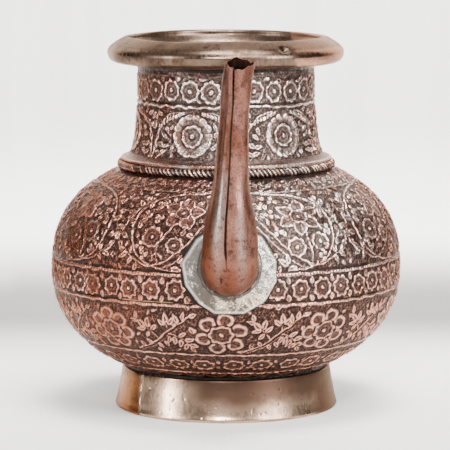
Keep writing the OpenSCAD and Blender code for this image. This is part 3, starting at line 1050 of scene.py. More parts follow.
@dataclass
class Belly:
    """The two beaten bowls, brazed at the girth, with their chased bands."""
    girth: float = 64.0
    depth: float = 52.0
    rise: float = 53.3
    bowl_fullness: float = 2.2
    shoulder_fullness: float = 2.4
    wall: float = 1.2
    lap: float = 58.5
    foot_line: float = 19.6
    scallop_line: float = 23.4
    lower_line: float = 33.8
    lower_beads: float = 57.2
    upper_beads: float = 70.6
    shoulder_line: float = 104.6
    collar_line: float = 109.3
    lip: float = 41.2

    def __post_init__(self) -> None:
        """Take the radius from the frame and lay out the outline."""
        low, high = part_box("upper_bowl")
        self.radius = (high.x - low.x) / 2 / MM
        self.profile = Profile(*self.outline(0.0))

    def outline(self, off: float) -> tuple[np.ndarray, np.ndarray]:
        """Radii and heights of the belly grown by an offset, from its bottom up to the lip."""
        angle = np.linspace(0, np.pi / 2, 400)
        radius = self.radius + off
        bowl = (radius * np.sin(angle) ** (2 / self.bowl_fullness),
                self.girth - (self.depth + off) * np.cos(angle) ** (2 / self.bowl_fullness))
        top = (radius * np.cos(angle) ** (2 / self.shoulder_fullness),
               self.girth + (self.rise + off) * np.sin(angle) ** (2 / self.shoulder_fullness))
        kept = top[0] > self.lip - 3
        return np.concatenate([bowl[0], top[0][kept][1:]]), np.concatenate([bowl[1], top[1][kept][1:]])

    def radius_at(self, height: np.ndarray | float, off: float = 0.0) -> np.ndarray | float:
        """Radius of the belly grown by an offset, at a height."""
        below, away = height < self.girth, np.abs(height - self.girth)
        drop = away / np.where(below, self.depth + off, self.rise + off)
        power = np.where(below, self.bowl_fullness, self.shoulder_fullness)
        return (self.radius + off) * np.clip(1 - drop ** power, 0, 1) ** (1 / power)

    def base(self) -> None:
        """The plain bottom of the lower bowl, inside the foot, painted dark: dark patina and painted shade of
        the gap over the foot.
        """
        arcs = np.concatenate([[0.02], np.linspace(1, self.profile.arc_at(self.foot_line), 60)])
        az = whole_turn(360)
        (r, z), (nr, nz) = self.profile.spot(arcs), self.profile.outward(arcs)
        out = -0.4 * smooth(40, 52, r)[:, None] + 0.12 * wander(az, 5, 9, 4) * np.sin(r / 5)[:, None]
        outer = turned(r[:, None] + nr[:, None] * out, z[:, None] + nz[:, None] * out, az)
        inner = turned((r - nr * self.wall)[::-1, None], (z - nz * self.wall)[::-1, None], az)
        inner[-1, :, :2] = outer[0, :, :2]
        rings = np.concatenate([outer, inner])
        piece = Piece("bowl_base", ring_mesh("bowl_base", rings, True, len(arcs)))
        # Marked low and below its surroundings, so it is painted dark: dark patina and painted shade of the
        # narrow gap over the foot.
        piece.mark("relief", np.full(rings.shape[:2], 0.08)).mark("crest", np.full(rings.shape[:2], -0.3))
        piece.dress(Finish.CHASED, Finish.INSIDE).smooth().deliver("chased_copper", "lower_bowl")

    def leaf_edge(self) -> None:
        """The scalloped edge over the foot and the small rosettes above it."""
        skin = Skin("bowl_leaf_edge", self.profile, self.foot_line, self.lower_line, self.wall, 0.37, seed=2)
        line = skin.profile.arc_at(self.scallop_line)
        count = 31
        places = [360 / count * k + 3.3 + 0.7 * math.sin(3.7 * k) for k in range(count)]
        middle = (line + skin.profile.arc_at(self.lower_line)) / 2 + 0.2
        for k, azimuth in enumerate(places):
            skin.stamp(Scallop(4.6), azimuth + 4, line - 0.8, level=0.8)
            size = 4.95 + 0.25 * math.sin(2.3 * k)
            rosette = Rosette(size, 7 + k % 2, 0.36, 0.22, 0.22)
            skin.stamp(rosette, azimuth, middle, 11 * k, squash=(1.04, 0.97))
        for azimuth in places:
            for side in (-1, 1):
                skin.stamp(Leaf(2.9, 0.6), azimuth + 180 / count, middle + side * 1.2, 90 * side, 0.8)
        skin.border(self.scallop_line, 0.8, 0.95, waver=6)
        skin.border(self.lower_line, 1.1, 1.0)
        skin.piece(Finish.CHASED).deliver("chased_copper", "lower_bowl")

    def spray(self, panel: Panel) -> None:
        """The S-shaped leafy stem between two great flowers."""
        panel.stem([(-14, -11), (-9.0, -8.6), (-3.5, -4.6), (1.0, 0.0), (6.0, 3.6), (12.5, 8.6)], 0.8, 1.0)
        panel.stem([(-13.2, -12.0), (-8.0, -9.9), (-2.4, -5.8), (2.2, -1.2), (7.2, 2.4)], 0.45, 0.85)
        panel.stem([(-3.0, -4.0), (-5.6, -0.6), (-8.4, 2.0)], 0.55)
        panel.leaves((-8.2, 1.2, 190, 4.4), (-8.6, 1.8, 130, 5.0), (-7.4, 1.8, 80, 5.0), (-6.2, 0.6, 38, 4.4),
                     (-6.6, -0.6, 230, 3.8), (-12.0, 6.0, 100, 3.6), (-11.6, 4.6, 160, 3.4))
        panel.stem([(1.4, 0.2), (1.6, 3.2), (0.8, 5.4)], 0.5)
        panel.leaves((1.0, 3.4, 140, 4.4), (1.4, 4.6, 92, 4.8), (2.2, 3.8, 52, 4.6), (6.2, 4.4, 104, 4.6),
                     (8.8, 6.0, 84, 3.8), (6.0, 3.2, 150, 3.0), (11.4, 7.8, 20, 3.8))
        panel.stem([(2.0, -1.0), (5.4, -2.4), (8.6, -5.0), (10.2, -8.6)], 0.6)
        panel.leaves((4.4, -2.6, -100, 4.6), (6.8, -4.2, -104, 4.8), (9.2, -6.4, -116, 4.4),
                     (10.2, -8.4, -62, 4.0), (9.8, -6.8, -16, 4.2), (8.4, -4.6, 14, 4.6),
                     (6.0, -2.4, 30, 4.0),
                     (2.4, -2.4, -112, 4.2))
        panel.leaves((-6.6, -7.6, 122, 3.8), (-10.4, -9.4, 120, 3.4), (-3.6, -6.8, -70, 3.6),
                     (-0.6, -5.2, -64, 3.8), (11.6, 2.6, -70, 3.8), (12.4, 1.0, -20, 3.2))

    def flower_band(self) -> None:
        """The widest band of the lower bowl: great flowers joined by leafy stems."""
        skin = Skin("bowl_flower_band", self.profile, self.lower_line, self.lap, self.wall, 0.405, seed=3)
        low, high = skin.profile.arc_at(self.lower_line), skin.profile.arc_at(self.lower_beads)
        middle = skin.profile.spot((low + high) / 2)[1]
        flowers = [-42, -1.6, 35, 74, 113, 154, 196, 237, 278]
        for here, after in zip(flowers, flowers[1:] + [flowers[0] + 360]):
            self.spray(Panel(skin, (here + after) / 2 + 0.8, float(middle) + 0.4, widen=(after - here) / 38))
        for k, azimuth in enumerate(flowers):
            flower = LobedFlower(11.4, 7 - k % 2)
            skin.stamp(flower, azimuth, (low + high) / 2 - 0.6, 17 * k - 60, squash=(1.04, 0.97))
        skin.scatter(900, self.lower_line + 1.5, self.lower_beads - 1.5, (2.4, 3.4), roomy=1.1)
        skin.border(self.lower_line, 1.1, 1.0)
        skin.border(self.lower_beads, 1.35, 1.0)
        skin.dots(self.lower_beads, 312, 0.5, 0.6)
        skin.piece(Finish.CHASED).deliver("chased_copper", "lower_bowl")

    def rosette_band(self) -> None:
        """The girth: rosettes between two beaded lines."""
        top = self.upper_beads + 1.5
        skin = Skin("bowl_rosette_band", self.profile, self.lap, top, self.wall, 0.31, seed=4)
        middle = (skin.profile.arc_at(self.lap) + skin.profile.arc_at(self.upper_beads - 1.3)) / 2 + 0.1
        front, hidden, shown = 24.3, 6, 41
        places = [-front + 2 * front * k / hidden for k in range(hidden)]
        places += [front + (360 - 2 * front) * k / shown for k in range(shown)]
        gap = 180 / len(places)
        for k, azimuth in enumerate(places):
            size = 4.85 + 0.22 * math.sin(1.9 * k)
            skin.stamp(Rosette(size, 7 + (k % 3 > 0), 0.36, 0.21, 0.25), azimuth + 0.5 * math.sin(3.1 * k),
                       middle + 0.3 * math.sin(2.7 * k), 9 * k, squash=(0.98, 1.04))
        for azimuth in places:
            for side in (-1, 1):
                skin.stamp(Leaf(3.2, 0.7), azimuth + gap, middle + side * 2.6, 90 * side, 0.8)
        skin.border(self.upper_beads, 1.35, 1.0)
        skin.dots(self.upper_beads, 326, 0.55, 0.8)
        skin.piece(Finish.CHASED).deliver("chased_copper", "upper_bowl")

    def frame_lines(self, panel: Panel) -> None:
        """The crossing stems that frame a medallion, with leaves where they cross and outside them."""
        panel.stem([(-24, 10), (-18, 1.5), (-12, -7.5), (-4, -14.6), (5, -18.2), (12, -16), (19.5, -11.4)],
                   0.75, 1.0, 0.7)
        panel.stem([(-13, 18.6), (-2.4, 17.4), (7.3, 13.2), (13.2, 6.5), (15.4, -1.6), (14, -9.5),
                    (9.7, -15.4), (0, -19.4), (-9.7, -20.2)], 0.75, 1.0, 0.7)
        panel.stem([(-25, 6), (-19, -2.6), (-13, -10.4), (-6, -16.8), (2, -19.6)], 0.5, 0.8)
        panel.leaves((17.6, -12.8, 30, 4.6), (17.0, -13.2, -30, 4.2), (14.0, -14.6, -60, 3.6),
                     (14.6, -13.6, 80, 3.8), (-9.7, -17.6, 150, 5.2), (-9.0, -16.8, 105, 4.0),
                     (-14.5, -12.2, -110, 4.6), (-5.4, -18.8, 190, 4.4))
        panel.stem([(9, 14.4), (15, 7.0), (20.0, -1.5), (22.4, -9.5)], 0.6, 0.85)
        panel.leaves((13.6, 9.6, 62, 3.9), (16.6, 5.2, 20, 3.9), (18.6, 1.0, 84, 3.9), (20.2, -2.6, 24, 3.9),
                     (18.0, 2.2, 205, 3.9), (20.6, -4.6, 210, 3.9), (22.0, -7.4, 60, 3.9),
                     (12.0, 12.0, 100, 3.9),
                     (21.8, -8.4, 230, 3.9), width=0.6)

    def star_medallion(self, panel: Panel) -> None:
        """A star flower over two round flowers, on one forked stem from a cup."""
        panel.stem([(0.8, -0.5), (1.6, -6.0), (2.6, -11.0), (2.8, -15.0)], 0.85, 1.0)
        panel.stem([(2.2, -11.5), (4.2, -8.5), (5.2, -5.5)], 0.6)
        panel.stem([(2.2, -10.6), (-0.4, -9.6)], 0.55)
        panel.put(Cup(3.2), 2.6, -16.4)
        panel.put(StarFlower(11.0), 0.0, 4.6, 24, squash=(1.03, 0.86))
        panel.put(Rosette(4.8, 8, 0.42, 0.22, 0.18), -4.4, -10.0)
        panel.put(Rosette(4.6, 8, 0.42, 0.22, 0.18), 7.8, -8.0)
        for u, v, turn in ((-15.4, 11.0, 10), (-13.4, 6.4, -30), (-11.8, -2.6, 20), (11.2, -2.0, 60),
                           (8.2, -14.4, 200), (-9.6, 14.2, 0), (11.8, 8.0, 30)):
            panel.put(Floret(2.9), u, v, turn)
        panel.leaves((12.8, -5.4, 80, 3.8), (12.4, -10.6, 150, 3.6), (11.6, 3.4, 100, 3.8),
                     (-9.0, -5.0, 100, 3.4))

    def bud_medallion(self, panel: Panel) -> None:
        """A broad flower, a round flower and a small one on a leaning stem from a cup."""
        panel.stem([(-6.0, 4.0), (-3.0, -1.0), (0.6, -7.0), (2.4, -11.6), (1.8, -14.0)], 0.8, 1.0)
        panel.put(Cup(3.4), 1.6, -15.4, -12)
        panel.put(Rosette(5.2, 9, 0.40, 0.20, 0.16), 5.0, -5.4)
        panel.put(Rosette(4.2, 8, 0.42, 0.25, 0.16), -6.0, -8.8)
        panel.put(StarFlower(9.6, 5, 0.40), -7.0, 6.8, 100, squash=(1.0, 0.92))
        for u, v, turn in ((9.8, 5.0, 40), (10.4, -9.6, 80), (4.0, 11.0, 0), (8.4, -13.4, 20),
                           (3.6, 3.6, 20)):
            panel.put(Floret(2.7), u, v, turn)
        panel.leaves((11.6, -1.6, 70, 4.0), (11.6, 1.2, 130, 3.6), (-10.6, -3.6, 200, 4.0),
                     (6.4, 8.4, 160, 3.6), (0.8, 12.6, 20, 3.4), (9.4, 8.6, 100, 3.4))

    def medallion_band(self) -> None:
        """The shoulder: ten framed flower medallions, in two halves that meet at the sides."""
        low, high = self.upper_beads + 1.5, self.shoulder_line
        arcs = self.profile.arc_at(low), self.profile.arc_at(high)
        middle = float(self.profile.spot(sum(arcs) / 2 + 0.4)[1])
        places = [27 + (360 - 27 - 21.5) / 9 * k for k in range(10)]
        for name, sector, seed in (("shoulder_front", (-90, 90), 5), ("shoulder_back", (90, 270), 6)):
            skin = Skin(name, self.profile, low, high, self.wall, 0.355, sector, seed=seed)
            for k, azimuth in enumerate(places):
                panel = Panel(skin, azimuth, middle, mirror=k % 2 == 1)
                self.frame_lines(panel)
                if k in (0, 2, 5, 7):
                    self.star_medallion(panel)
                else:
                    self.bud_medallion(panel)
            skin.scatter(1700, low + 0.5, high - 0.5, (2.6, 3.8), (30, 150))
            skin.border(high, 0.9, 0.8, waver=9)
            skin.piece(Finish.CHASED).deliver("chased_copper", "upper_bowl")

    def scroll_band(self) -> None:
        """The narrow band of curls under the collar, and the plain shoulder that the collar hides, painted
        lighter against the rope's shadow.
        """
        skin = Skin("shoulder_scrolls", self.profile, self.shoulder_line, self.collar_line, self.wall, 0.37,
                    seed=7)
        low, high = skin.arc[0] + 1.0, skin.arc[-1] - 0.6
        count = 64
        for k in range(count):
            azimuth = 360 / count * k
            skin.stamp(Scroll(2.2), azimuth, (low + high) / 2 + 0.6 * (-1) ** k, 180 * k + 40, 0.8)
            skin.stamp(Leaf(3.6, 0.55), azimuth + 2.6, (low + high) / 2 - 1.2, 60 + 20 * (k % 3), 0.8)
        skin.scatter(900, self.shoulder_line + 0.4, self.collar_line - 0.4, (2.2, 3.0), (20, 80), 0.9)
        skin.border(self.shoulder_line, 0.9, 0.8, waver=9)
        skin.piece(Finish.CHASED).deliver("chased_copper", "upper_bowl")
        top = self.profile.heights[self.profile.radii > self.lip].max()
        plain = Skin("shoulder_lip", self.profile, self.collar_line, float(top), self.wall, 0.9, seed=8)
        # Painted light: the raised relief paints the plain shoulder lighter where it lies in the rope's
        # shadow.
        plain.relief += 0.25
        plain.piece(Finish.CHASED).deliver("chased_copper", "upper_bowl")

    def braze(self) -> None:
        """The thin line of spelter where the two bowls meet, a little below the ground of the chasing."""
        radius, height = self.profile.spot(self.profile.arc_at(self.lap))
        az = whole_turn(360)
        section = np.linspace(0, 2 * np.pi, 10, endpoint=False)[:, None]
        rings = turned(radius - 0.75 + 0.3 * np.cos(section) + 0 * az, height + 0.3 * np.sin(section), az)
        piece = Piece("braze_line", ring_mesh("braze_line", rings))
        piece.dress(Finish.SPELTER).smooth().deliver("spelter", "belly_braze")

    def build(self) -> None:
        """Make every band from the foot up."""
        self.base()
        self.braze()
        self.leaf_edge()
        self.flower_band()
        self.rosette_band()
        self.medallion_band()
        self.scroll_band()


# ---------------------------------------------------------------------------------------------
# The neck and its collar
# ---------------------------------------------------------------------------------------------

@dataclass
class Neck:
    """The throat: two chased bands, a plain skirt over the shoulder and the rope ring under it."""
    wall: float = 1.2
    bead_line: float = 140.5
    skirt_top: float = 117.0
    skirt_radius: float = 48.2
    skirt_low: float = 113.6
    beads: int = 150
    strands: int = 146

    def __post_init__(self) -> None:
        """Take the top from the frame and lay out the outline."""
        self.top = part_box("neck")[1].z / MM
        radius = (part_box("neck")[1].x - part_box("neck")[0].x) / 2 / MM
        throat = radius - 7.8
        outline = curve([(radius - 0.3, 114.3), (radius - 1.6, 114.9), (radius - 2.8, 115.8),
                         (radius - 3.8, 117.0), (radius - 4.9, 118.6), (radius - 5.8, 121.0),
                         (radius - 6.7, 126.0), (radius - 7.4, 134.0), (throat, 141.0), (throat, 152.0),
                         (throat, self.top)], 12)
        self.profile = Profile(outline[:, 0], outline[:, 1])

    def rosette_band(self) -> None:
        """The upper band of rosettes, up to the plain strip under the rim."""
        skin = Skin("neck_rosette_band", self.profile, self.bead_line + 1.2, self.top - 0.2, self.wall, 0.32,
                    rise=0.75, seed=21)
        middle = skin.profile.arc_at(147.3)
        count = 26
        for k in range(count):
            azimuth = 360 / count * k + 4.3
            rosette = Rosette(4.9 + 0.2 * math.sin(2.1 * k), 8 + k % 2, 0.42, 0.22, 0.17)
            skin.stamp(rosette, azimuth, middle + 0.3 * math.sin(1.7 * k), 13 * k, squash=(0.96, 1.06))
        skin.scatter(700, self.bead_line + 2, 153.4, (2.2, 3.0), roomy=0.9)
        skin.border(154.2, 0.7, 0.5, waver=12)
        rows = smooth(skin.profile.arc_at(153.6), skin.profile.arc_at(155.0), skin.arc)[:, None]
        skin.relief = skin.relief * (1 - rows) + 0.16 * rows
        skin.piece(Finish.NECK).deliver("neck_copper", "neck")

    def fern(self, panel: Panel) -> None:
        """Arched stems with leafy sprays that spring from between two daisies."""
        for side in (False, True):
            half = Panel(panel.skin, panel.azimuth, panel.height, side)
            half.stem([(0.8, -10.5), (1.6, -3.0), (4.2, 3.6), (8.0, 8.4), (13.0, 10.4), (17.0, 9.6)],
                      0.85, 1.0)
            for k in range(9):
                half.leaves((3.4 + 1.5 * k, 3.0 + 0.9 * k - 0.02 * k * k, 118 - 9 * k, 2.5), width=0.5)
            half.leaves((1.2, -6.8, 60, 3.8), (1.6, -2.6, 66, 3.8), (3.6, -3.6, -30, 3.8),
                        (2.8, -7.2, -36, 3.8), (5.4, 0.6, -34, 3.6), (5.2, -8.4, 20, 4.0),
                        (6.4, -5.2, 10, 3.6), (7.4, 3.6, -60, 3.4), (4.6, 8.6, 150, 3.6),
                        (1.6, 6.8, 120, 3.6), (0.6, 2.6, 96, 3.6))
            half.stem([(4.0, -11.6), (5.6, -8.6), (8.8, -7.4)], 0.5, 0.8)

    def daisy_band(self) -> None:
        """The wide band of the neck: six daisies with ferns between."""
        skin = Skin("neck_daisy_band", self.profile, self.skirt_top, self.bead_line + 1.2, self.wall, 0.31,
                    rise=0.95, sink=0.45, seed=22)
        middle, daisies = 127.6, 6
        for k in range(daisies):
            self.fern(Panel(skin, 9 + 360 / daisies * k, middle))
        for k in range(daisies):
            daisy, azimuth = Daisy(9.9, 14 + k % 3), 360 / daisies * k - 21.5
            skin.stamp(daisy, azimuth, skin.profile.arc_at(middle) - 0.1, 7 * k, squash=(0.96, 1.0))
        skin.scatter(1100, self.skirt_top + 1.6, self.bead_line - 1.6, (2.4, 3.6), (30, 150), 1.1)
        skin.border(self.bead_line, 1.2, 1.0, waver=13)
        skin.piece(Finish.NECK).deliver("neck_copper", "neck")

    def skirt(self) -> None:
        """The plain hollowed band and the raised edge that stands over the rope."""
        base = float(self.profile.spot(self.profile.arc_at(self.skirt_top))[0])
        edge_radius = self.skirt_radius
        outer = curve([(base - 0.3, self.skirt_top + 0.1), (base + 0.7, 115.7), (base + 2.0, 114.9),
                       (base + 2.9, 115.2), (edge_radius - 0.4, 115.1), (edge_radius + 0.1, 114.4),
                       (edge_radius - 0.3, self.skirt_low)], 6)
        inner = curve([(edge_radius - 1.4, self.skirt_low + 0.1), (base + 1.8, 114.0), (base + 0.4, 114.6),
                       (base - 0.9, 115.8), (base - 1.5, self.skirt_top)], 3)
        az = whole_turn(640)
        edge = swell(outer[:, :1] - edge_radius + 0.6, 0.7)
        beads = 0.5 + 0.5 * np.cos(self.beads * az)
        radii = outer[:, :1] + edge * 0.22 * beads + 0.15 * wander(az, 31, 6, 3)
        rings = np.concatenate([turned(radii, outer[:, 1:], az),
                                turned(inner[:, :1] + 0 * az, inner[:, 1:], az)])
        plain = np.zeros((len(inner), az.size))
        piece = Piece("neck_skirt", ring_mesh("neck_skirt", rings, True, len(outer)))
        piece.mark("relief", np.concatenate([0.30 + 0.55 * edge + 0 * az, plain]))
        piece.mark("crest", np.concatenate([edge * (0.25 + 0.5 * beads), plain]))
        piece.dress(Finish.NECK, Finish.INSIDE).smooth(50).deliver("neck_copper", "neck")

    def collar(self) -> None:
        """The rope ring: short strands laid slantwise round a thin core."""
        low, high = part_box("rope_collar")
        middle = (low.z + high.z) / 2
        core = (high.z - low.z) / 2
        rope = RopeRing("rope_collar_strands", high.x - core, float(middle), core * 0.93, self.strands)
        piece = rope.make()
        points = np.empty(len(piece.object.data.vertices) * 3, np.float32)
        piece.object.data.vertices.foreach_get("co", points)
        points = points.reshape(-1, 3)
        away = np.hypot(np.hypot(points[:, 0], points[:, 1]) - rope.radius, points[:, 2] - rope.height)
        lifted = np.clip((away / core - 0.80) / 0.20, 0, 1)
        piece.mark("relief", 0.25 + 0.6 * lifted).mark("crest", lifted * 0.5 - 0.2)
        piece.dress(Finish.NECK).smooth(70).deliver("neck_copper", "rope_collar")

    def build(self) -> None:
        """Make the neck and the collar."""
        self.rosette_band()
        self.daisy_band()
        self.skirt()
        self.collar()


class Tree:
    """A Geometry Nodes tree under construction, with named inputs."""

    def __init__(self, name: str, **inputs: float | int) -> None:
        self.tree = bpy.data.node_groups.new(name, "GeometryNodeTree")
        self.tree.interface.new_socket(name="Geometry", in_out="INPUT", socket_type="NodeSocketGeometry")
        self.keys: dict[str, str] = {}
        for label, value in inputs.items():
            kind = "NodeSocketInt" if isinstance(value, int) else "NodeSocketFloat"
            socket = self.tree.interface.new_socket(name=label, in_out="INPUT", socket_type=kind)
            socket.default_value = value
            self.keys[label] = socket.identifier
        self.tree.interface.new_socket(name="Geometry", in_out="OUTPUT", socket_type="NodeSocketGeometry")
        self.entry = self.tree.nodes.new("NodeGroupInput")
        self.exit = self.tree.nodes.new("NodeGroupOutput")
        self.values = inputs

    def node(self, kind: str, settings: dict[str, object], inputs: dict[int | str, object],
             output: int | str = 0) -> bpy.types.NodeSocket:
        """Make a node, set it up, feed its sockets with values or sockets, and give one output back."""
        made = self.tree.nodes.new(kind)
        for key, value in settings.items():
            setattr(made, key, value)
        for key, value in inputs.items():
            if isinstance(value, bpy.types.NodeSocket):
                self.tree.links.new(value, made.inputs[key])
            else:
                made.inputs[key].default_value = value
        return made.outputs[output]

    def ask(self, label: str) -> bpy.types.NodeSocket:
        """A named input of the tree."""
        return self.entry.outputs[label]

    def grow(self, name: str, shape: bpy.types.NodeSocket, finish: Finish) -> Piece:
        """End the tree in real faces with a finish, run it and keep the plain mesh."""
        real = self.node("GeometryNodeRealizeInstances", {}, {0: shape})
        done = self.node("GeometryNodeSetMaterial", {}, {0: real, "Material": finish.material()})
        self.tree.links.new(done, self.exit.inputs[0])
        piece = Piece(name, bpy.data.meshes.new(name))
        modifier = piece.object.modifiers.new("grow", "NODES")
        modifier.node_group = self.tree
        for label, key in self.keys.items():
            modifier[key] = self.values[label]
        grown = piece.object.evaluated_get(bpy.context.evaluated_depsgraph_get())
        mesh = bpy.data.meshes.new_from_object(grown)
        piece.object.modifiers.clear()
        piece.object.data = mesh
        mesh.name = name
        return piece


@dataclass
class RopeRing:
    """A ring of slanted strands, with its sizes in metres."""
    name: str
    radius: float
    height: float
    thickness: float
    count: int
    slant: float = 52.0

    def make(self) -> Piece:
        """Lay the strands with Geometry Nodes."""
        t = Tree(self.name, Radius=self.radius, Height=self.height, Thickness=self.thickness,
                 Count=self.count, Slant=math.radians(self.slant), Core=0.84)
        ring = t.node("GeometryNodeCurvePrimitiveCircle", {"mode": "RADIUS"},
                      {"Resolution": 360, "Radius": t.ask("Radius")})
        lift = t.node("ShaderNodeCombineXYZ", {}, {2: t.ask("Height")})
        ring = t.node("GeometryNodeTransform", {}, {0: ring, "Translation": lift})
        points = t.node("GeometryNodeCurveToPoints", {"mode": "COUNT"}, {0: ring, "Count": t.ask("Count")})
        tangent = points.node.outputs["Tangent"]
        lay = t.node("FunctionNodeAlignRotationToVector", {"axis": "X", "pivot_axis": "Z"},
                     {"Vector": tangent})
        twist = t.node("FunctionNodeAxisAngleToRotation", {},
                       {"Axis": (0.0, 1.0, 0.0), "Angle": t.ask("Slant")})
        lay = t.node("FunctionNodeRotateRotation", {"rotation_space": "LOCAL"}, {0: lay, 1: twist})
        ball = t.node("GeometryNodeMeshUVSphere", {},
                      {"Segments": 10, "Rings": 8, "Radius": t.ask("Thickness")})
        strand = t.node("GeometryNodeTransform", {}, {0: ball, "Scale": (1.40, 1.10, 0.40)})
        size = t.node("FunctionNodeRandomValue", {"data_type": "FLOAT"},
                      {"Min": 0.84, "Max": 1.12, "Seed": 4}, 1)
        strands = t.node("GeometryNodeInstanceOnPoints", {}, {0: points, "Instance": strand, "Rotation": lay,
                                                              "Scale": size})
        core = t.node("ShaderNodeMath", {"operation": "MULTIPLY"}, {0: t.ask("Thickness"), 1: t.ask("Core")})
        section = t.node("GeometryNodeCurvePrimitiveCircle", {"mode": "RADIUS"},
                         {"Resolution": 20, "Radius": core})
        tube = t.node("GeometryNodeCurveToMesh", {}, {0: ring, 1: section})
        both = t.tree.nodes.new("GeometryNodeJoinGeometry")
        t.tree.links.new(strands, both.inputs[0])
        t.tree.links.new(tube, both.inputs[0])
        return t.grow(self.name, both.outputs[0], Finish.NECK)


# ---------------------------------------------------------------------------------------------
# Rim and foot
# ---------------------------------------------------------------------------------------------

@dataclass
class Rim:
    """The heavy rolled rim, sleeved over the neck."""
    mouth: float = 44.4
    sleeve: float = 40.6
    columns: int = 540

    def build(self) -> None:
        """Turn the rim, wavy as a hand-made one, with a worn outer edge that is also a painted highlight, and
        a painted dark reflection on its upper slope.
        """
        low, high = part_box("rim_ring")
        rim, top, under = (high.x - low.x) / 2 / MM, high.z / MM, low.z / MM
        sleeve = self.sleeve
        outline = closed_curve([
            (sleeve, under + 0.1), (45.0, under), (rim - 4.6, under), (rim - 2.2, under + 0.7),
            (rim - 0.7, under + 2.2), (rim, top - 7.2), (rim - 0.1, top - 6.2),
            (rim - 0.8, top - 4.9), (rim - 2.4, top - 3.4),
            (rim - 5.0, top - 1.7), (self.mouth + 2.2, top - 0.35), (self.mouth + 1.1, top),
            (self.mouth + 0.2, top - 0.7), (self.mouth, top - 2.4), (42.6, top - 5.2), (sleeve, top - 6.6),
            (sleeve, under + 4)], 0.42)
        az = whole_turn(self.columns)
        r, z = outline[:, :1], outline[:, 1:]
        outward = smooth(42, 52, r)
        dents = 0.22 * wander(az, 41, 7, 3) * outward + 0.10 * wander(az, 42, 16, 9) * outward
        sag = 0.30 * wander(az, 43, 4, 2) * smooth(under + 2, top, z)
        chip = swell(az - 0.52, 0.035) * swell(r - rim + 2.6, 1.3) * smooth(top - 6, top - 4, z)
        rings = turned(r + dents - 0.5 * chip, z + sag - 1.0 * chip, az)
        # The worn outer edge, which also stands for a painted highlight along the rim's crest.
        worn = swell(z - top + 6.3, 0.75) * smooth(rim - 2, rim - 0.6, r)
        worn = worn * (0.75 + 0.25 * wander(az, 44, 6, 2))
        # Painted dark reflection on the upper slope, all round.
        slope = smooth(rim - 1.0, rim - 2.6, r) * smooth(self.mouth, self.mouth + 1.6, r)
        dark = slope * smooth(top - 5.4, top - 4.4, z) * np.clip(0.85 + 0.25 * wander(az, 45, 6, 2), 0, 1)
        under_lip = smooth(under + 1.2, under + 0.1, z) * smooth(45, 42, r)
        piece = Piece("rim_roll", ring_mesh("rim_roll", rings))
        piece.mark("relief", np.clip(worn, 0, 1))
        piece.mark("crest", -np.clip(dark * 0.95 + under_lip + chip, 0, 1))
        piece.dress(Finish.RIM).smooth().deliver("rim_bronze", "rim_ring")


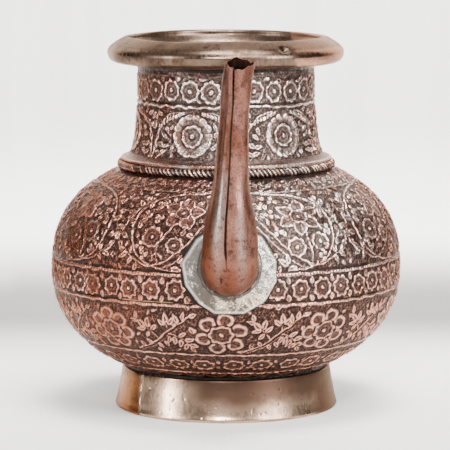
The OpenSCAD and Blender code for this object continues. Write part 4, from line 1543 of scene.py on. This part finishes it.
@dataclass
class Foot:
    """The flared ring foot, rolled from strip and brazed at one seam."""
    seam: float = -51.0
    waist: float = 47.9
    shelf: float = 44.1
    columns: int = 900
    pits: int = 90

    def __post_init__(self) -> None:
        """Take the sizes from the frame and lay out the section."""
        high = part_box("foot_ring")[1]
        self.base, self.top = high.x / MM, high.z / MM
        base, top, waist, shelf = self.base, self.top, self.waist, self.shelf
        flare = base - waist
        self.half_flare = waist + flare * 0.5
        self.outline = closed_curve([
            (base - 2.5, 0.25), (base - 1.6, 0.02), (base - 0.6, 0.08), (base, 1.0),
            (waist + flare * 0.8, 3.2),
            (self.half_flare, 8.0), (waist + flare * 0.23, 13.0), (waist + 0.05, top - 1.2),
            (waist - 0.25, top - 0.25), (waist - 1.0, top), (45.6, top), (shelf, top - 0.1),
            (shelf, top - 0.6),
            (45.4, top - 1.5), (waist - 1.9, top - 3.2), (self.half_flare - 2, 8.0), (base - 2.6, 1.2)], 0.40)

    def marks(self, az: np.ndarray, z: np.ndarray) -> np.ndarray:
        """Depths of the pits and scratches at azimuths and heights."""
        rng = np.random.default_rng(51)
        deep = np.zeros(np.broadcast_shapes(az.shape, z.shape))
        for _ in range(self.pits):
            at, level = rng.uniform(-np.pi, np.pi), rng.uniform(1.5, self.top - 1.5)
            size = rng.uniform(0.35, 0.75)
            pit = ridge(np.hypot(off_from(az, at) * self.base, z - level), size)
            deep = np.maximum(deep, pit * rng.uniform(0.4, 1))
        scratches = ((0.95, 0.8, 8, 5), (1.02, -0.6, 6, 4), (0.24, 0.2, 5, 2.4), (-0.18, 0.1, 7, 3),
                     (1.1, 1.2, 11, 3))
        for at, lean, level, long in scratches:
            near = off_from(az, at) * self.base - lean * (z - level)
            deep = np.maximum(deep, ridge(near, 0.45) * (np.abs(z - level) < long / 2) * 0.7)
        return deep

    def build(self) -> None:
        """Roll the foot, with its seam, pits and scratches, and a painted highlight along its top edge."""
        top, waist = self.top, self.waist
        az = whole_turn(self.columns)
        r, z = self.outline[:, :1], self.outline[:, 1:]
        outer_wall = waist + (self.base - waist) * np.clip(1 - z / top, 0, 1) ** 1.2 * 0.9
        outside = smooth(-0.6, 0.3, r - (outer_wall - 0.6)) * smooth(0.4, 1.4, z)
        hole = self.marks(az, z)
        lap = off_from(az, math.radians(self.seam)) * self.base + 0.06 * (z - 9)
        step = smooth(0.5, -0.5, lap) * smooth(-12, -7, lap) * 0.07
        groove = ridge(lap, 0.40)
        out = (step - 0.25 * hole - 0.25 * groove) * outside + 0.18 * wander(az, 52, 6, 3) * smooth(0, 6, z)
        piece = Piece("foot_strip", ring_mesh("foot_strip", turned(r + out, z + 0 * az, az)))
        # Top edge: rubbed, and a painted highlight along it.
        edge = swell(z - top + 0.3, 0.5) * smooth(waist - 1.6, waist - 0.8, r) + 0 * az
        inner = smooth(self.half_flare - 0.8, self.half_flare - 1.8, r) * smooth(top - 0.1, top - 0.5, z)
        grime_and_shade = np.clip(np.maximum(hole * 1.1, groove) * outside + inner * 0.8, 0, 1)
        piece.mark("relief", np.clip(edge, 0, 1)).mark("crest", -grime_and_shade)
        piece.dress(Finish.FOOT).smooth().deliver("foot_bronze", "foot_ring")


# ---------------------------------------------------------------------------------------------
# The spout
# ---------------------------------------------------------------------------------------------

@dataclass
class Spout:
    """The rolled sheet spout, its plate and the solder between them. Sizes are in millimetres."""
    belly: Belly
    root: tuple[float, float] = (1.5, 75.0)
    root_radius: float = 12.4
    tip_radius: float = 5.75
    sheet: float = 0.9
    lap: float = 10.0
    gap: float = 0.3
    elbow: float = 72.0
    lean: float = 3.9
    reach: float = 104.0
    stand_off: float = 1.5
    around: int = 150
    plate_sides: int = 12

    def elbow_ring(self, t: float) -> tuple[float, ...]:
        """A ring of the elbow: its centre, tilt in degrees, half width and half depth."""
        tilt = self.elbow * t
        half = self.root_radius * (1 - 0.14 * t * t)
        slope = math.radians(tilt)
        y = -float(self.belly.radius_at(self.root[1])) - self.stand_off - 0.7 - half * math.sin(slope)
        z = self.root[1] + self.root_radius - half * math.cos(slope)
        return self.root[0], y, z, tilt, self.root_radius * (1 - 0.03 * t * t), half

    def tube_ring(self, t: float) -> tuple[float, ...]:
        """A ring of the rising tube."""
        x, y, z, tilt, wide, deep = self.elbow_ring(1.0)
        upright, bulb = smooth(0, 0.25, t), 1 - smooth(0, 1 / 3, t)
        half = self.tip_radius + (wide - self.tip_radius) / (1 + (t / 0.27) ** 2.3)
        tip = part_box("spout_tube")[1].z / MM - 3.0
        forward = 1.6 * upright + (self.reach + y - 1.6) * t ** 2.2
        return (x + self.lean * t * t, y - forward, z + (tip - z) * t,
                tilt + (84 - tilt) * upright - 10 * t * t, half, half + (deep - wide) * bulb)

    def rings(self) -> list[tuple[float, ...]]:
        """Every ring from the root to the tip."""
        return ([self.elbow_ring(t) for t in np.linspace(0, 1, 22)]
                + [self.tube_ring(t) for t in np.linspace(0, 1, 116)[1:]])

    def waves(self, bearing: np.ndarray, share: float) -> np.ndarray:
        """The flats and waves that the hammer left, which fade out at the root."""
        flats = 0.22 * np.cos(3 * bearing + 4 * share) + 0.14 * np.cos(5 * bearing - 7 * share)
        uneven = flats + 0.10 * math.sin(23 * share) + 0.12 * np.sin(2 * bearing + 19 * share)
        return uneven * (0.25 + 0.75 * smooth(0.02, 0.2, share))

    def nick(self, side: np.ndarray, share: float) -> np.ndarray:
        """The gouge on the bulb and the scratch that runs from it across the front."""
        left = side + 17
        gouge = swell(left, 2.8) * swell(share - 0.098, 0.013)
        scratch = swell(share - 0.107 - 0.0005 * left, 0.005) * plateau(side, -17, 6, 5)
        return np.maximum(gouge, 0.5 * scratch)

    def climb(self, turn: np.ndarray, sunk: float) -> np.ndarray:
        """How far the sheet stands off its first turn: over the lap, or tucked under it where it is sunk."""
        over = smooth(330, 360, turn)
        under = 1 - smooth(self.lap - 4.5, self.lap - 0.4, turn)
        end = 0.12 * sunk * smooth(367, 370, turn)
        return (self.sheet + self.gap) * ((1 - sunk) * over - sunk * under) - end

    def tube(self) -> None:
        """Roll the sheet, with its lap down the front and a ragged tip."""
        turn = np.linspace(0, 360 + self.lap, self.around)
        rings = self.rings()
        shares = np.linspace(0, 1, len(rings))
        seams = np.interp(shares, *zip((0, -4), (0.14, -7), (0.22, -10), (0.30, -10), (0.44, -8),
                                       (0.57, -7.5),
                                       (0.70, -10), (0.84, -10), (0.92, -16), (1, -22)))
        rows, dirt, pale = [], [], []
        for (x, y, z, tilt, wide, deep), s, seam in zip(rings, shares, seams):
            bearing, slope = np.radians(turn + seam - self.lap), math.radians(tilt)
            degrees = np.degrees(bearing)
            side = (degrees + 180) % 360 - 180
            sunk, ragged = 1 - smooth(0.115, 0.19, s), smooth(0.93, 1.0, s)
            notch = 1.5 * swell(degrees - seam, 16) + 0.5 * np.sin(3 * bearing + 1)
            notch = notch + 0.35 * np.sin(7 * bearing)
            nick = self.nick(side, s)
            off = self.climb(turn, sunk) - 0.25 * nick + 0.9 * ragged * swell(degrees - 80, 50)
            off = off + self.waves(bearing, s)
            both = []
            for inset in (0.0, self.sheet * (1 - 0.35 * ragged)):
                w, d = wide + off - inset, deep + off - inset
                both.append(np.stack([x + w * np.sin(bearing), y - d * np.cos(bearing) * math.sin(slope),
                                      z - d * np.cos(bearing) * math.cos(slope) - ragged * notch], -1))
            if not rows:
                for line in both:
                    around_belly = self.belly.radius_at(line[:, 2], self.stand_off) + 0.05
                    line[:, 1] = -np.sqrt(around_belly ** 2 - line[:, 0] ** 2)
            rows.append(np.concatenate([both[0], both[1][::-1]]))
            past_edge = turn - (360 + self.lap)
            # Painted shadow with some grime along the lap's step and edge, above the bulb.
            crevice = np.maximum(ridge(turn - self.lap - 0.8, 5.0), ridge(past_edge, 1.2)) * (1 - sunk)
            # Painted shade where the tube meets the plate.
            foot = 0.85 * (1 - smooth(0.0, 0.045, s)) + 0 * turn
            dirt_and_shade = np.maximum.reduce([crevice, foot, nick])
            # This list holds grime and painted shade; the inner face is darkened, less at the ragged tip.
            dirt.append(np.concatenate([dirt_and_shade, np.full(len(turn), 0.75 - 0.4 * ragged)]))
            # Painted highlight strips: a silvery streak beside the lap's edge and a fainter sheen right of
            # the front.
            strip = swell(past_edge + 17, 12) * swell(s - 0.34, 0.15)
            strip = strip + 0.42 * swell(side - 27, 13) * swell(s - 0.24, 0.14)
            pale.append(np.concatenate([strip, np.zeros(len(turn))]))
        lengthwise = np.array(rows).transpose(1, 0, 2)
        piece = Piece("spout_sheet", ring_mesh("spout_sheet", lengthwise, False))
        piece.mark("crest", np.array(dirt).T).mark("relief", np.array(pale).T)
        piece.dress(Finish.SPOUT).smooth(50).deliver("spout_copper", "spout_tube")

    def on_belly(self, x: np.ndarray, z: np.ndarray, off: np.ndarray | float) -> np.ndarray:
        """Points on the belly's front, grown by an offset, at places across and up."""
        return np.stack([x, -np.sqrt((self.belly.radius_at(z, 0.0) + off) ** 2 - x ** 2), z], -1)

    def plate_edge(self, angle: np.ndarray) -> np.ndarray:
        """How far the plate's cut edge is from its middle, over its half width, by angle."""
        rng = np.random.default_rng(61)
        count, beyond = self.plate_sides, 9.0
        corners = np.radians(np.arange(count) * 360 / count + 15 + rng.uniform(-5, 5, count))
        sizes = 1.03 + rng.uniform(-0.03, 0.02, count)
        tips = np.stack([np.cos(corners) * sizes, np.sin(corners) * sizes], -1)
        edge = np.full(len(angle), beyond)
        for a, b in zip(tips, np.roll(tips, -1, 0)):
            normal = np.array([b[1] - a[1], a[0] - b[0]])
            reach = (normal @ a) / np.maximum(1e-3, normal[0] * np.cos(angle) + normal[1] * np.sin(angle))
            edge = np.minimum(edge, np.where(reach > 0, reach, beyond))
        for _ in range(3):
            edge = (np.roll(edge, 1) + 2 * edge + np.roll(edge, -1)) / 4
        return edge

    def plate(self) -> None:
        """Beat the twelve-sided plate to the belly, with its lumpy tinning, a painted highlight on its raised
        edge and painted shade round the spout's root.
        """
        low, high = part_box("spout_plate")
        middle_x, middle_z = (low.x + high.x) / 2 / MM, (low.z + high.z) / 2 / MM
        half_x, half_z = (high.x - low.x) / 2 / MM, (high.z - low.z) / 2 / MM
        angle = np.linspace(0, 2 * np.pi, 288, endpoint=False)
        edge = self.plate_edge(angle)
        share = np.concatenate([np.linspace(0.42, 0.90, 36), np.linspace(0.91, 1.0, 12)])
        grid = share[:, None] * edge[None, :]
        x = middle_x + half_x * grid * np.cos(angle)
        z = middle_z + half_z * grid * np.sin(angle)
        lumps = 0.09 * np.sin(x * 0.55 + 2.3 * np.sin(z * 0.31))
        lumps = lumps + 0.08 * np.sin(z * 0.62 + 2.7 * np.sin(x * 0.23))
        lip = 0.25 * swell(share - 0.955, 0.022)[:, None]
        top = 1.45 + lumps + lip - 1.0 * np.clip((share - 0.965) / 0.035, 0, 1)[:, None] ** 2
        under = np.full_like(top, -0.3)[::-1][::8]
        rings = np.concatenate([self.on_belly(x, z, top), self.on_belly(x[::-1][::8], z[::-1][::8], under)])
        piece = Piece("spout_plate_tinned", ring_mesh("spout_plate_tinned", rings))
        shade = swell(np.hypot(x - self.root[0], z - self.root[1] - 0.4) - self.root_radius, 1.5)
        # Painted highlight along the plate's raised edge.
        bright = swell(share - 0.955, 0.03)[:, None] + 0 * angle
        piece.mark("crest", np.concatenate([shade * 0.8, np.zeros(under.shape)]))
        piece.mark("relief", np.concatenate([bright, np.zeros(under.shape)]))
        piece.dress(Finish.PLATE).smooth(50).deliver("tin_plate", "spout_plate")

    def fillet(self) -> None:
        """Wipe the solder round the spout's root."""
        angle = np.linspace(0, 2 * np.pi, 220, endpoint=False)[None, :]
        section = np.linspace(0, 2 * np.pi, 12, endpoint=False)[:, None]
        size = 1.25 + 0.22 * wander(angle, 71, 7, 3)
        off = self.root_radius + 0.55 + size * np.cos(section) * 0.95
        x = self.root[0] + off * np.sin(angle)
        z = self.root[1] + off * np.cos(angle)
        rings = self.on_belly(x, z, self.stand_off + 0.1 + 0.8 * size * np.sin(section))
        piece = Piece("spout_root_solder", ring_mesh("spout_root_solder", rings))
        piece.mark("crest", np.full(rings.shape[:2], 0.35))
        piece.dress(Finish.SOLDER).smooth().deliver("tin_solder", "spout_solder")

    def build(self) -> None:
        """Make the tube, the plate and the solder."""
        self.tube()
        self.plate()
        self.fillet()


# ---------------------------------------------------------------------------------------------
# The pieces that stay as CAD, and the studio
# ---------------------------------------------------------------------------------------------

def dress_joints() -> None:
    """Give the brazes and solders that stay as they are their finishes."""
    finishes = {"foot_seam_braze": Finish.CREVICE, "neck_solder": Finish.SOLDER, "rim_solder": Finish.CREVICE,
                "foot_solder": Finish.CREVICE, "plate_solder": Finish.CREVICE,
                "spout_seam_solder": Finish.SOLDER}
    for node, finish in finishes.items():
        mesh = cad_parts[node].data
        mesh.materials.clear()
        mesh.materials.append(finish.material())
        LOG.info("%s: dressed", node)


@dataclass
class Studio:
    """A pale table and wall, soft lamps and the camera."""
    camera_side: float = -0.00046
    camera_height: float = 0.2554
    camera_reach: float = 1.3289
    camera_tilt: float = 7.4
    lens: float = 233.0
    sensor: float = 36.0
    room_light: float = 0.14
    pale: Colour = (0.92, 0.90, 0.875)
    shade: Colour = (0.055, 0.050, 0.048)
    half_width: float = 0.55
    bend: float = 0.24
    bend_radius: float = 0.10

    def sweep(self) -> None:
        """The pale cloth of the set: a table that bends up into a wall behind the jug, with a painted shadow
        along the bend and painted shade of faint pleats in the wall.
        """
        angle = np.linspace(0, math.pi / 2, 14)
        bend = zip(self.bend + self.bend_radius * np.sin(angle), self.bend_radius * (1 - np.cos(angle)))
        line = [(-1.2, 0.0), *bend, (self.bend + self.bend_radius, 0.9)]
        points = [(x, float(y), float(z)) for y, z in line for x in (-self.half_width, self.half_width)]
        mesh = bpy.data.meshes.new("cloth")
        mesh.from_pydata(points, [], [(2 * k, 2 * k + 1, 2 * k + 3, 2 * k + 2) for k in range(len(line) - 1)])
        mesh.shade_smooth()
        s = Sheet("pale_cloth", Roughness=0.9)
        uneven = s.grain(140, 3, stretch=(1.0, 0.5, 0.5)).rise(0.15, 0.5)
        # Painted shadow where the table bends up into the wall, uneven along it.
        bend_shadow = s.axis(1).rise(0.08, 0.25) * (1 - s.axis(2).rise(0.006, 0.04)) * uneven
        fleck = s.grain(1.5, 4, 0.75).rise(0.45, 0.75) * (1 - s.axis(2).rise(0.0, 0.08))
        # Painted shade of soft vertical pleats in the wall.
        pleat_shade = s.grain(22, 2, stretch=(1.0, 0.3, 0.06)).rise(0.40, 0.66) * s.axis(2).rise(0.03, 0.12)
        body = s.mix(bend_shadow * 0.85, self.pale, self.shade)
        mesh.materials.append(s.finish(Base_Color=s.mix((fleck * 0.14).most(pleat_shade * 0.07), body, self.shade)))
        Piece("cloth", mesh).object

    def lamp(self, name: str, place: tuple[float, float, float], size: tuple[float, float], power: float,
             target: tuple[float, float, float] = (0.0, 0.0, 0.09), spread: float = 180.0) -> None:
        """A soft rectangular lamp.

        Args:
            name: Its name.
            place: Its middle, in metres.
            size: Its width and height.
            power: Its power in watts.
            target: What it is aimed at.
            spread: How wide it shines, in degrees.
        """
        light = bpy.data.lights.new(name, "AREA")
        light.shape, light.size, light.size_y, light.energy = "RECTANGLE", size[0], size[1], power
        light.spread = math.radians(spread)
        lamp = bpy.data.objects.new(name, light)
        bpy.context.scene.collection.objects.link(lamp)
        lamp.location = place
        x, y, z = np.array(target) - np.array(place)
        lamp.rotation_euler = (math.atan2(math.hypot(x, y), -z), 0.0, math.atan2(-x, y))

    def build(self) -> None:
        """Set the table, light it and place the camera."""
        self.sweep()
        self.lamp("left_window", (-0.95, -0.55, 0.42), (0.17, 0.8), 12)
        self.lamp("right_window", (0.83, -0.72, 0.50), (0.42, 0.8), 21)
        self.lamp("key", (-0.10, -1.15, 0.66), (0.24, 0.24), 12)
        self.lamp("front_top", (0.3, -0.85, 1.05), (0.6, 0.4), 15.5, (0.0, -0.30, 0.0))
        self.lamp("overhead", (0.12, -0.16, 1.15), (0.50, 0.40), 1.6, (0.0, -0.02, 0.10), 50)
        self.lamp("wall_wash", (0.0, 0.02, 1.5), (0.6, 0.3), 6, (0.0, 0.40, 0.30), 40)
        world = bpy.data.worlds.new("room")
        world.use_nodes = True
        sky = world.node_tree.nodes["Background"]
        sky.inputs["Color"].default_value = (0.62, 0.62, 0.63, 1)
        sky.inputs["Strength"].default_value = self.room_light
        bpy.context.scene.world = world
        lens = bpy.data.cameras.new("camera")
        lens.lens, lens.sensor_width = self.lens, self.sensor
        camera = bpy.data.objects.new("camera", lens)
        bpy.context.scene.collection.objects.link(camera)
        camera.location = (self.camera_side, -self.camera_reach, self.camera_height)
        camera.rotation_euler = (math.radians(90 - self.camera_tilt), 0.0, 0.0)
        bpy.context.scene.camera = camera


def main() -> None:
    """Build the jug and its setting."""
    logging.basicConfig(level=logging.INFO, format="%(message)s")
    belly = Belly()
    belly.build()
    Neck().build()
    Rim().build()
    Foot().build()
    Spout(belly).build()
    dress_joints()
    Studio().build()


if __name__ == "__main__":
    main()
